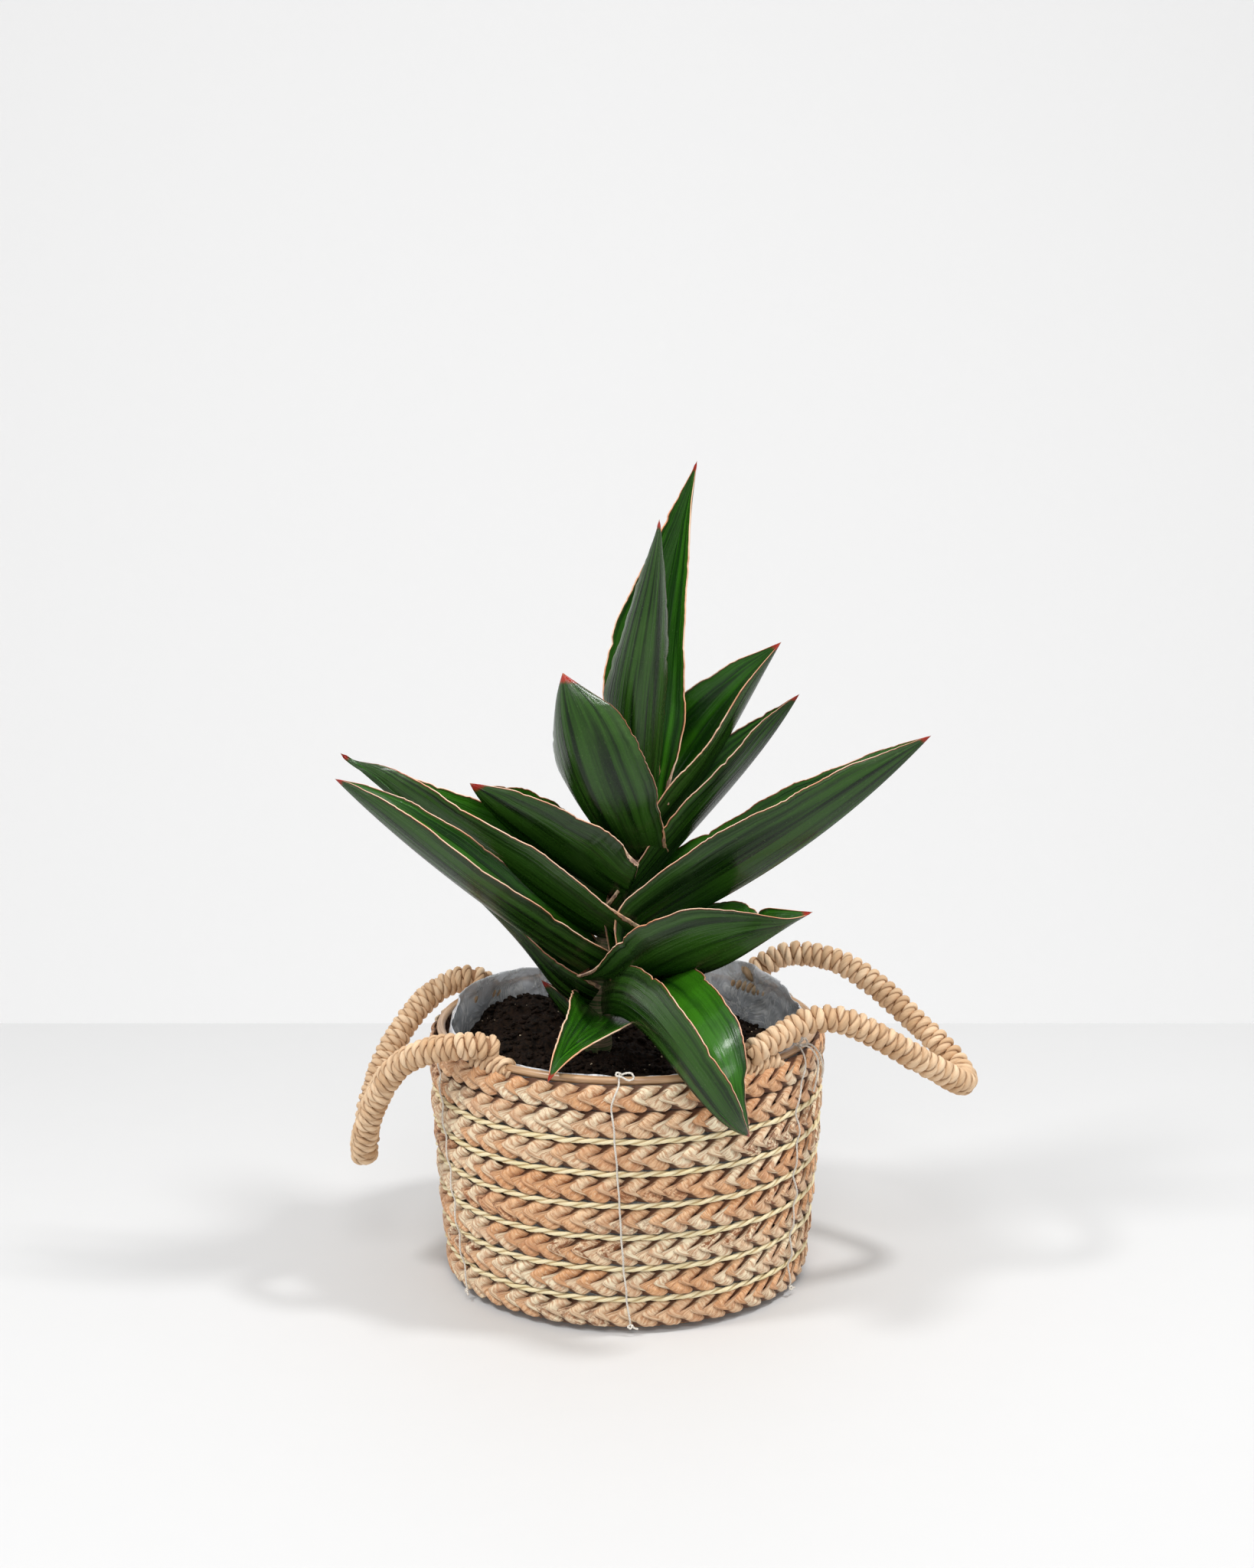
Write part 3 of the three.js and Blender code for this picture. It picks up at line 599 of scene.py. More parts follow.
def plait_strand(surface, level, wall_radius, number, seed):
    """One of three strands of a flat plait. With p the phase round its weave, the strand swings up and
    down by a rounded zigzag, asin(ZIGZAG_SHARPNESS sin p), and to the front and back by sin 2p. Its
    section is a flat oval, narrower at the folds and rolled so that its leading edge lies on top;
    raking shifts each point by its distance from the middle of the plait. The strands run clockwise,
    so the petals point that way."""
    rng = np.random.default_rng(seed)
    sides, steps = 14, PLAIT_PERIODS * 30
    radius = wall_radius - ROW_THICKNESS / 2
    angle = np.arange(steps) / steps * TURN
    start = rng.uniform(0, TURN)
    phase = PLAIT_PERIODS * angle + TURN * number / 3
    petal = np.floor(phase / math.pi + 0.25).astype(int) % (2 * PLAIT_PERIODS)
    tones, widths, lifts, stains = (rng.uniform(-1, 1, 2 * PLAIT_PERIODS) for _ in range(4))
    even = 0.5 + 0.5 * np.cos(2 * (phase - math.pi / 4))
    swing = PLAIT_SWING * (1 + 0.05 * ring_wobble(angle, seed + 1, (5, 40)))
    lift = 0.32 * lifts[petal] * even
    x = radius * angle
    zigzag = np.arcsin(ZIGZAG_SHARPNESS * np.sin(phase)) / math.asin(ZIGZAG_SHARPNESS)
    y = swing * zigzag + 0.35 * ring_wobble(angle, seed + 2, (3, 24))
    out = PLAIT_DIVE * np.sin(2 * phase) + lift
    slope = np.stack([np.gradient(x), np.gradient(y)], -1)
    slope[0], slope[-1] = slope[1], slope[-2]
    slope = unit(slope)
    half = STRAND_HALF_WIDTH * (1 - 0.3 * np.sin(phase) ** 2) * (1 + 0.12 * widths[petal] * even)
    turn = np.arange(sides) * TURN / sides
    across = np.cos(turn) * half[:, None]
    flat = np.sign(np.sin(turn)) * np.abs(np.sin(turn)) ** 0.75
    spots = np.stack([np.tile(angle[:, None] * 60, sides), across * 0.8 + seed], -1)
    swell = 1 + 0.18 * cloud(spots, seed)
    up = flat * STRAND_HALF_THICKNESS * swell
    px = x[:, None] - slope[:, 1:] * across
    py = y[:, None] + slope[:, :1] * across
    roll = -STRAND_ROLL * np.cos(phase)[:, None] * across
    crown = -0.02 * across**2
    face = np.where(np.sin(turn) > 0, 1, -1)
    po = out[:, None] + up + roll + crown * face * 0.6
    px = PETAL_RAKE * np.sqrt(py**2 + 1.2) - px
    py = np.clip(py, -7.1, 7.1)
    points = round_basket(px / radius + start, radius + np.clip(po, -3.7, 3.8), level + py)
    # Painted shade: the parts of a strand that sink to the back, and its edges, are marked deep and
    # darkened in the finish.
    sunken_shade = smooth(-np.sin(2 * phase)[:, None] * np.ones(sides), -0.55, 0.6)
    edge = smooth(np.abs(np.cos(turn))[None, :] * np.ones((steps, 1)), 0.8, 1.0)
    surface.grid(
        points,
        strip_uv(angle * radius * 1.15, sides, True, TURN * radius * 1.15, seed * 7.3),
        wrap=(True, True),
        tone=tones[petal][:, None],
        stain=smooth(stains[petal], 0.62, 0.9)[:, None],
        deep=np.maximum(sunken_shade, edge * 0.6),
    )


def build_rows(finish):
    """Eight plaited rows, each of three strands."""
    for i, (level, radius) in enumerate(zip(ROW_LEVELS, ROW_RADII)):
        surface = Surface()
        for number in range(3):
            plait_strand(surface, level, radius, number, 10 * i + 3)
        surface.piece(f"plaited_row_{i + 1}", finish, [f"plait_row_{i + 1}"])


def twisted_cord(surface, path, side, rise, offset, ply_radius, lay, closed, seed, sides=7):
    """Two plies twisted round a path. A ply's centre is path + offset (cos w side + sin w rise), where w
    turns once every lay. The mark deep is 1 in the groove between plies, as painted shade there."""
    plies = 2
    run = run_length(path)
    length = run[-1] + (np.linalg.norm(path[0] - path[-1]) if closed else 0)
    twist = TURN * run / lay
    if closed:
        twist = TURN * run / (length / round(length / lay))
    turn = np.arange(sides) * TURN / sides
    for k in range(plies):
        w = twist + TURN * k / plies
        outward = np.cos(w)[:, None] * side + np.sin(w)[:, None] * rise
        centre = path + outward * offset
        ahead = directions(centre, closed)
        beside = unit(np.cross(ahead, outward))
        face_out = np.cross(beside, ahead)
        thick = ply_radius * (1 + 0.08 * cloud(np.stack([run / lay * 2.1, run * 0 + k], -1), seed))
        points = tube(centre, beside, thick * 1.12, face_out, thick * 0.92, sides)
        # Painted shade: the groove between the plies is marked deep, which the cord finishes darken.
        groove = smooth(-np.sin(turn)[None, :] * np.ones((len(run), 1)), -0.5, 0.35)
        tone = cloud(np.stack([run / lay / 1.7, run * 0 + k * 3], -1), seed + 5)
        surface.grid(
            points,
            strip_uv(run, sides, closed, length, seed * 3.1 + k),
            wrap=(closed, True),
            caps=not closed,
            deep=groove,
            tone=tone[:, None],
        )


def build_piping(finish):
    """A pale cord between each two plaits, but not under the top one: a ring that wobbles a little in
    and out and up and down, as if petals pressed on it."""
    for i in range(1, ROW_COUNT - 1):
        node = f"piping_cord_{i}"
        steps = 560
        angle = np.arange(steps) / steps * TURN
        radius = outer_reach(node) - PIPING_DIAMETER / 2 + 0.15
        radius = radius + 0.5 * ring_wobble(angle, 40 + i, (9, 60))
        level = middle_height(node) + 0.4 * ring_wobble(angle, 60 + i, (6, 48))
        path = round_basket(angle, radius, level)
        side = round_basket(angle, 1.0, 0.0)
        rise = np.tile([0.0, 0.0, 1.0], (steps, 1))
        surface = Surface()
        twisted_cord(surface, path, side, rise, 0.72, 1.05, 21, True, 70 + i)
        surface.piece(f"yellow_cord_{i}", finish, [node])


def build_rod(finish):
    """The cane ring that the rim is sewn to: round, very slightly uneven."""
    steps, sides = 300, 20
    angle = np.arange(steps) / steps * TURN
    radius = ROD_RADIUS + 0.15 * ring_wobble(angle, 5)
    path = round_basket(angle, radius, ROD_LEVEL + 0.2 * ring_wobble(angle, 6))
    side = round_basket(angle, 1.0, 0.0)
    rise = np.tile([0.0, 0.0, 1.0], (steps, 1))
    thick = ROD_DIAMETER / 2 * (1 + 0.02 * ring_wobble(angle, 7, (3, 20)))
    points = tube(path, side, thick, rise, thick, sides)
    surface = Surface()
    surface.grid(
        points, strip_uv(angle * ROD_RADIUS, sides, True, TURN * ROD_RADIUS), wrap=(True, True)
    )
    surface.piece("cane_rod", finish, ["rim_rod"])


def build_base(plait):
    """The base: a flat plait coiled from the middle outwards, its radius growing by one pitch a turn,
    and a strip wound round the base's edge, which also lashes the lowest row to it."""
    surface = Surface()
    pitch = 12.6
    turns = outer_reach("base_mat") / pitch
    steps, sides = 1400, 10
    run = np.linspace(0.35, turns - 0.5, steps)
    angle = run * TURN
    weave = 0.5 * np.sin(angle * run * 2.6)
    path = np.stack([run * pitch * np.cos(angle), run * pitch * np.sin(angle), 2.1 + 0.25 * weave], -1)
    outward = round_basket(angle, 1.0, 0.0)
    rise = np.tile([0.0, 0.0, 1.0], (steps, 1))
    lobes = 1 + 0.12 * np.sin(run_length(path) / 7.2 * math.pi)
    points = tube(path, outward, pitch * 0.53 * lobes, rise, 1.75, sides)
    along = run_length(path)
    surface.grid(points, strip_uv(along, sides), wrap=(False, True), caps=True,
                 tone=np.sin(along / 7.2)[:, None], stain=0.0, deep=0.2)
    surface.piece("coiled_base", plait, ["base_mat"])

    surface = Surface()
    low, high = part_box("base_binding")
    middle = middle_height("base_binding")
    reach = high.x / MM - (high.z - low.z) / 2 / MM
    turns, per_turn, sides = 72, 16, 8
    steps = turns * per_turn
    angle = np.arange(steps) / steps * TURN
    spin = turns * angle
    rng = np.random.default_rng(21)
    tones = rng.uniform(-1, 1, turns)[np.arange(steps) // per_turn]
    outward = round_basket(angle, 1.0, 0.0)
    up = np.tile([0.0, 0.0, 1.0], (steps, 1))
    path = round_basket(angle, reach + 2.1 * np.cos(spin), middle + 2.0 * np.sin(spin))
    normal = np.cos(spin)[:, None] * outward + np.sin(spin)[:, None] * up
    ahead = directions(path, True)
    beside = unit(np.cross(ahead, normal))
    half_width, half_thickness = 2.9, 0.75
    points = tube(path, beside, half_width, np.cross(beside, ahead), half_thickness, sides)
    # deep 0.35 gives the strips a little painted shade.
    surface.grid(points, strip_uv(run_length(path), sides, True, 900), wrap=(True, True),
                 tone=tones[:, None] - 0.6, stain=0.0, deep=0.35)
    surface.piece("wrapped_binding", plait, ["base_binding"])


# Each thread: its node's angle round the basket in degrees, then how far it strays sideways in mm at
# the rim and at each row going down.
THREAD_STRAYS = {
    "stitch_thread_1": (-158, (0, 3, 5, 7, 10, 12, 13.5, 15.5, 18)),
    "stitch_thread_2": (-94, (3.2, -0.2, 1.2, 2.5, 3.6, 4.4, 5.5, 7, 8.8)),
    "stitch_thread_3": (-30, (1, -3.5, -8.5, -5.5, -7, -3.5, -4.5, -2.5, 0)),
    "stitch_thread_4": (28, (0, 2, -1, 1.5, 0, 2, -1, 1, 0)),
    "stitch_thread_5": (88, (0, -2, 1, -1, 1.5, -1, 1, 0, 1)),
    "stitch_thread_6": (128, (0, 1.5, -1, 2, 0, 1, -1.5, 1, 0)),
}


def thread_points(angle, strays):
    """A thread's knots, from the rod over the top row and down the wall: it bulges over each row and
    sinks into the seam below it."""
    def at(radius, height, stray):
        turn = math.radians(angle) + stray / radius
        return [radius * math.cos(turn), radius * math.sin(turn), height]

    top, radius = ROW_LEVELS[-1], ROW_RADII[-1]
    knots = [
        at(ROD_RADIUS - 0.4, RIM_TOP + 0.75, strays[0]),
        at(ROD_RADIUS + 2.2, RIM_TOP + 0.2, strays[0]),
        at(radius - 2.2, top + ROW_HEIGHT / 2 + 0.3, strays[0]),
    ]
    for i in range(ROW_COUNT - 1, -1, -1):
        stray = strays[ROW_COUNT - i]
        before = strays[ROW_COUNT - 1 - i]
        knots.append(at(ROW_RADII[i] + 0.55, ROW_LEVELS[i] + 2.2, lerp(before, stray, 0.6)))
        knots.append(at(ROW_RADII[i] + 0.5, ROW_LEVELS[i] - 2.6, stray))
        if i:
            seam = (ROW_LEVELS[i] + ROW_LEVELS[i - 1]) / 2
            knots.append(at((ROW_RADII[i] + ROW_RADII[i - 1]) / 2 - 0.7, seam, stray))
    knots.append(at(ROW_RADII[0] - 0.3, ROW_LEVELS[0] - 5.2, strays[-1]))
    return knots


def build_threads(finish):
    """Cotton thread sewn down the wall, two plies twisted and knotted at the foot. Two of the threads
    have a small bow at the rim, one of them with loose tails."""
    for number, (name, (angle, strays)) in enumerate(THREAD_STRAYS.items()):
        surface = Surface()

        def sew(knots, steps, surface=surface, seed=number):
            path = smooth_route(knots, steps)
            ahead = directions(path)
            guess = unit(np.cross(ahead, [0.13, 0.21, 1.0]))
            rise = unit(np.cross(guess, ahead))
            twisted_cord(surface, path, guess, rise, 0.24, 0.36, 3.4, False, 90 + seed, sides=5)

        knots = thread_points(angle, strays)
        sew(knots, 420)
        turn = math.radians(angle) + strays[0] / WALL_RADIUS
        ahead = np.array([-math.sin(turn), math.cos(turn), 0])
        outward = np.array([math.cos(turn), math.sin(turn), 0])
        up = np.array([0, 0, 1.0])
        top = np.array(knots[1]) + up * 0.4
        if number in (1, 2):
            loop = [(0, 0, 0), (3, 0.6, 2.0), (6.5, 1.0, 2.2), (7.6, 1.6, -0.2), (5, 2.0, -1.2),
                    (1.5, 1.6, 0.4), (-1.5, 1.5, 1.2), (-1.0, 0.6, 2.4), (1.2, 0.4, 1.6)]
            sew([top + ahead * a + outward * b + up * c for a, b, c in loop], 90)
        if number == 2:
            for tail in ([(0, 1, 0), (3, 5, -1), (6, 8.5, -8), (5.5, 8.6, -17), (2, 8.4, -25)],
                         [(0, 1, 0.5), (5, 4.5, 0), (10, 7.6, -6), (12.5, 8.8, -14), (12, 8.5, -20)]):
                sew([top + ahead * a + outward * b + up * c for a, b, c in tail], 90)
        foot = np.array(knots[-1])
        knot = [(0, 0, 0), (1.2, 1.0, 0.6), (0.4, 1.5, -0.9), (-1.2, 1.0, -0.3), (0.2, 0.8, 0.8),
                (2.2, 1.2, -0.8), (4.2, 1.4, -1.2)]
        sew([foot + ahead * a + outward * b + up * c for a, b, c in knot], 60)
        surface.piece(f"sewing_thread_{number + 1}", finish, [name])


# ---- handles ------------------------------------------------------------------------------------
# Each drooping loop from one foot to the other: degrees round the basket, mm outside the wall, and mm
# above the height at which a handle sits on the rod.
LEFT_LOOP = (
    (146, -11, -4), (148, -5, -0.5), (150, 5, -3.5), (156, 14, -10), (164, 22, -24), (172, 29, -41),
    (180, 34, -64), (185, 36, -82), (190, 36, -68), (197, 31, -40), (204, 23, -18), (212, 13, -6),
    (220, 4, -1), (224, -4, -0.5), (226, -11, -4),
)
RIGHT_LOOP = (
    (45, -8, -3), (42, -6, 2), (37, 5, 9.5), (31, 17, 10), (25, 28, 6.5), (18, 40, -3), (10, 54, -17),
    (5, 66, -28), (0, 76, -38.5), (-5, 75, -39.5), (-11, 61, -27), (-16, 46, -14), (-21, 30, -1),
    (-26, 14, 8), (-31, 0, 7.5), (-36, -5.5, 3), (-43, -7, 0.5), (-52, -7, -3.5),
)


def handle_path(loop, steps):
    """The handle's centre line, and at each point two directions square to it: first the one out of
    the loop's plane."""
    knots = [
        round_basket(math.radians(angle), WALL_RADIUS + out, HANDLE_SEAT + up) for angle, out, up in loop
    ]
    path = smooth_route(knots, steps)
    spread = path - path.mean(0)
    plane = np.linalg.svd(spread, full_matrices=False)[2][2]
    ahead = directions(path)
    side = unit(plane - (ahead @ plane)[:, None] * ahead)
    return path, side, np.cross(ahead, side)


PLY_GAP = 0.62  # distance of a paper cord's plies from its middle, as a share of their radius


def wound_rope(surface, loop, pitch, ply_radius, lay, seed):
    """Paper cord wound over a core. The winding turns once every pitch round the handle's centre line,
    and is itself two plies that turn about each other once every lay."""
    path, side, rise = handle_path(loop, 900)
    run = run_length(path)
    turns = round(run[-1] / pitch)
    per_turn = 30
    share = np.linspace(0, 1, turns * per_turn)
    at = share * run[-1]
    centre, out_a, out_b = (
        np.stack([np.interp(at, run, block[:, k]) for k in range(3)], -1) for block in (path, side, rise)
    )
    wobble = cloud(np.stack([share * turns * 0.9, share * 0], -1), seed)
    spin = TURN * turns * share + 0.35 * cloud(np.stack([share * turns * 0.5, share * 0 + 7], -1), seed)
    outward = np.cos(spin)[:, None] * out_a + np.sin(spin)[:, None] * out_b
    reach = HANDLE_DIAMETER / 2 - ply_radius * 1.5 + 0.25 * wobble
    coil = centre + outward * reach[:, None]
    coil_ahead = directions(coil)
    beside = unit(np.cross(coil_ahead, outward))
    twisted_cord(surface, coil, outward, beside, ply_radius * PLY_GAP, ply_radius, lay, False, seed)
    core_radius = HANDLE_DIAMETER / 2 - ply_radius * 1.7
    core = tube(path, side, core_radius, rise, core_radius, 12)
    # The core shows only between the turns, so it is painted in the darkest tone with full painted shade
    # (deep 1).
    surface.grid(core, strip_uv(run, 12), wrap=(False, True), caps=True, deep=1.0, tone=-1.0)


def lashing(surface, first, last, seed):
    """Cord wound round the rod where a handle's foot is tied to it: a helix round the rod's centre line,
    from the first angle to the last, in degrees round the basket."""
    pitch, ply_radius, lay = 4.2, 1.5, 15
    turns = round(math.radians(last - first) * ROD_RADIUS / pitch)
    share = np.linspace(0, 1, turns * 26)
    angle = np.radians(lerp(first, last, share))
    side = round_basket(angle, 1.0, 0.0)
    outward = np.cos(TURN * turns * share)[:, None] * side
    outward = outward + np.sin(TURN * turns * share)[:, None] * np.array([0.0, 0.0, 1.0])
    coil = round_basket(angle, ROD_RADIUS, ROD_LEVEL) + outward * (ROD_DIAMETER / 2 + ply_radius * 0.9)
    beside = unit(np.cross(directions(coil), outward))
    twisted_cord(surface, coil, outward, beside, ply_radius * PLY_GAP, ply_radius, lay, False, seed)


def build_handles(finish):
    """Both handles, each with its feet lashed to the rod."""
    surface = Surface()
    lashing(surface, 218, 234, 33)
    lashing(surface, 138, 153, 34)
    wound_rope(surface, LEFT_LOOP, 4.9, 1.75, 13, 31)
    surface.piece("rope_handle_left", finish, ["handle_left"])
    surface = Surface()
    lashing(surface, -60, -40, 35)
    lashing(surface, 36, 52, 36)
    wound_rope(surface, RIGHT_LOOP, 6.0, 2.0, 15, 32)
    surface.piece("rope_handle_right", finish, ["handle_right"])


# ---- liner and compost --------------------------------------------------------------------------
# Height of the film's free edge above the rod's top, in mm, by degrees round the basket.
FILM_EDGE = (
    (-180, 5), (-165, 2.5), (-145, 0), (-120, -1.2), (-90, -1.6), (-60, -0.8), (-30, 2), (0, 6), (20, 9),
    (40, 13), (60, 12), (80, 8), (100, 6), (130, 9), (150, 10), (170, 6.5), (180, 5),
)


FILM_THICKNESS = 0.25


def film_radius(height):
    """Radius of the liner where it lies against the wall and, higher up, inside the rod."""
    rows = np.interp(height, ROW_LEVELS, ROW_RADII) - ROW_THICKNESS
    return np.minimum(rows, ROD_RADIUS - ROD_DIAMETER / 2) - 0.6


def build_liner(finish):
    """A thin film cup. Its radius at an angle and height is the wall's, less folds: ridges of noise that
    grow towards the free edge, whose height above the rod varies round the rim. Its floor is flat and
    lies below the compost."""
    steps, levels = 420, 64
    angle = np.arange(steps) / steps * TURN
    degrees = (np.degrees(angle) + 180) % 360 - 180
    edge = np.interp(degrees, *zip(*FILM_EDGE))
    edge = edge + 1.3 * ring_wobble(angle, 11, (7, 30)) * smooth(edge, -2, 3)
    foot = 7.0
    share = np.linspace(0, 1, levels) ** 0.7
    height = foot + (RIM_TOP + edge[:, None] - foot) * share
    around = round_basket(angle[:, None], 3.6, height / 26)
    fold = creases(around, 3, 4)
    free = smooth(height, SOIL_LEVEL - 12, RIM_TOP + 4)
    inward = (0.4 + 3.2 * free) * (1 - fold) + 1.2 * free * layered_cloud(around * 2.3, 9)
    radius = film_radius(height) - np.maximum(inward, 0.1)
    lean = 2.6 + 2.2 * ring_wobble(angle, 12, (3, 14))[:, None]
    lean = smooth(height, RIM_TOP - 1, RIM_TOP + 9) * lean
    radius = radius - np.maximum(lean, -1)
    points = round_basket(angle[:, None], radius, height)
    uv = np.stack(np.meshgrid(np.arange(steps + 1) / 20, share, indexing="ij"), -1)
    surface = Surface()
    surface.grid(points[:, ::-1], uv[:, ::-1], wrap=(True, False), fold=fold[:, ::-1])
    rings = np.linspace(1, 0.02, 8)
    floor = points[:, 0][:, None] * [1, 1, 0] * rings[None, :, None] + [0, 0, foot]
    uv = np.stack(np.meshgrid(np.arange(steps + 1) / 20, rings, indexing="ij"), -1)
    surface.grid(floor, uv, wrap=(True, False), fold=0.0)
    made = surface.piece("film_liner", finish, ["liner_film"])
    wall = made.modifiers.new("film thickness", "SOLIDIFY")
    wall.thickness = FILM_THICKNESS * MM
    return made


def soil_height(x, y):
    """Level compost with a heap behind and to the left of the stem, and lumps at three scales."""
    heap = 17 * np.exp(-((x + 50) ** 2 + (y - 48) ** 2) / (2 * 27**2))
    spots = np.stack([x, y, 0 * x], -1)
    lumps = 2.6 * layered_cloud(spots / 17, 51) + 1.5 * layered_cloud(spots / 4.5, 52)
    lumps = lumps + 0.6 * cloud(spots / 1.6, 53)
    return SOIL_LEVEL + heap + lumps - 0.8


def build_compost(finish):
    """The compost's surface on a polar grid, its side inside the film, and loose crumbs with a few pale
    grains."""
    steps, rings = 360, 120
    angle = np.arange(steps) / steps * TURN
    reach = film_radius(SOIL_LEVEL) - 4.5
    share = np.linspace(0.004, 1, rings)
    x = np.cos(angle)[:, None] * share * reach
    y = np.sin(angle)[:, None] * share * reach
    top = np.stack([x, y, soil_height(x, y)], -1)
    side_levels = np.linspace(SOIL_LEVEL - 6, 9, 6)
    side = round_basket(angle[:, None], film_radius(side_levels) - 5, side_levels)
    floor = side[:, -1:] * [0.01, 0.01, 1]
    skin = np.concatenate([top, side, floor], 1)
    uv = np.zeros((steps + 1, skin.shape[1], 2))
    surface = Surface()
    surface.grid(skin, uv, wrap=(True, False), pale=0.0)

    rng = np.random.default_rng(77)
    for count, sizes, pale in ((1500, (0.7, 2.4), 0.0), (150, (0.35, 0.8), 1.0)):
        turn = rng.uniform(0, TURN, count)
        far = reach * np.sqrt(rng.uniform(0.02, 0.98, count))
        cx, cy = far * np.cos(turn), far * np.sin(turn)
        size = rng.uniform(*sizes, count)
        centres = np.stack([cx, cy, soil_height(cx, cy) + size * 0.35], -1)
        surface.blobs(centres, size, (1.0, 0.8, 0.7), 78 + count, pale=pale)
    surface.piece("compost_surface", finish, ["soil"])


# ---- plant --------------------------------------------------------------------------------------
def on_stem(up):
    """The stem's axis at a height above the compost: upright at the foot, then leaning to the right."""
    share = np.clip(up / STEM_HEIGHT, 0, 1)
    x = -17 + 24 * share * share * (3 - 2 * share)
    y = 8 - 4 * np.sin(math.pi * share)
    return np.stack([x, y, SOIL_LEVEL + up], -1)


STEM_FOOT_RADIUS = 9.0
STEM_HEAD_RADIUS = 5.5
STEM_SWELL = 0.5  # share by which packed leaf bases thicken the stem
STEM_SWELL_LEVEL = 60  # above the compost
STEM_SWELL_SPREAD = 26


def build_stem(finish):
    """A round stem along its axis, tapering upward, with a shallow ring at each leaf scar. Where most
    leaves clasp it, it is thicker by up to STEM_SWELL, as a bell curve of the height."""
    steps, sides = 150, 24
    up = np.linspace(STEM_LOW - SOIL_LEVEL, STEM_HEIGHT, steps)
    path = on_stem(up)
    share = np.linspace(0, 1, steps)
    swell = 1 + STEM_SWELL * np.exp(-(((up - STEM_SWELL_LEVEL) / STEM_SWELL_SPREAD) ** 2))
    thick = lerp(STEM_FOOT_RADIUS, STEM_HEAD_RADIUS, share) * (1 + 0.035 * np.sin(up / 2.4)) * swell
    side = np.tile([1.0, 0, 0], (steps, 1))
    rise = np.tile([0, 1.0, 0], (steps, 1))
    points = tube(path, side, thick, rise, thick, sides)
    surface = Surface()
    surface.grid(points, strip_uv(run_length(path), sides), wrap=(False, True), caps=True)
    surface.piece("plant_stem", finish, ["stem"])


def plant_at(x, y, up):
    """A point by mm across and mm above the compost."""
    return np.array([x, y, SOIL_LEVEL + up], float)


def rim_at(degrees, out, up):
    """A point by its angle round the rim, mm outside the wall and mm above the handles' seat."""
    return round_basket(math.radians(degrees), WALL_RADIUS + out, HANDLE_SEAT + up)


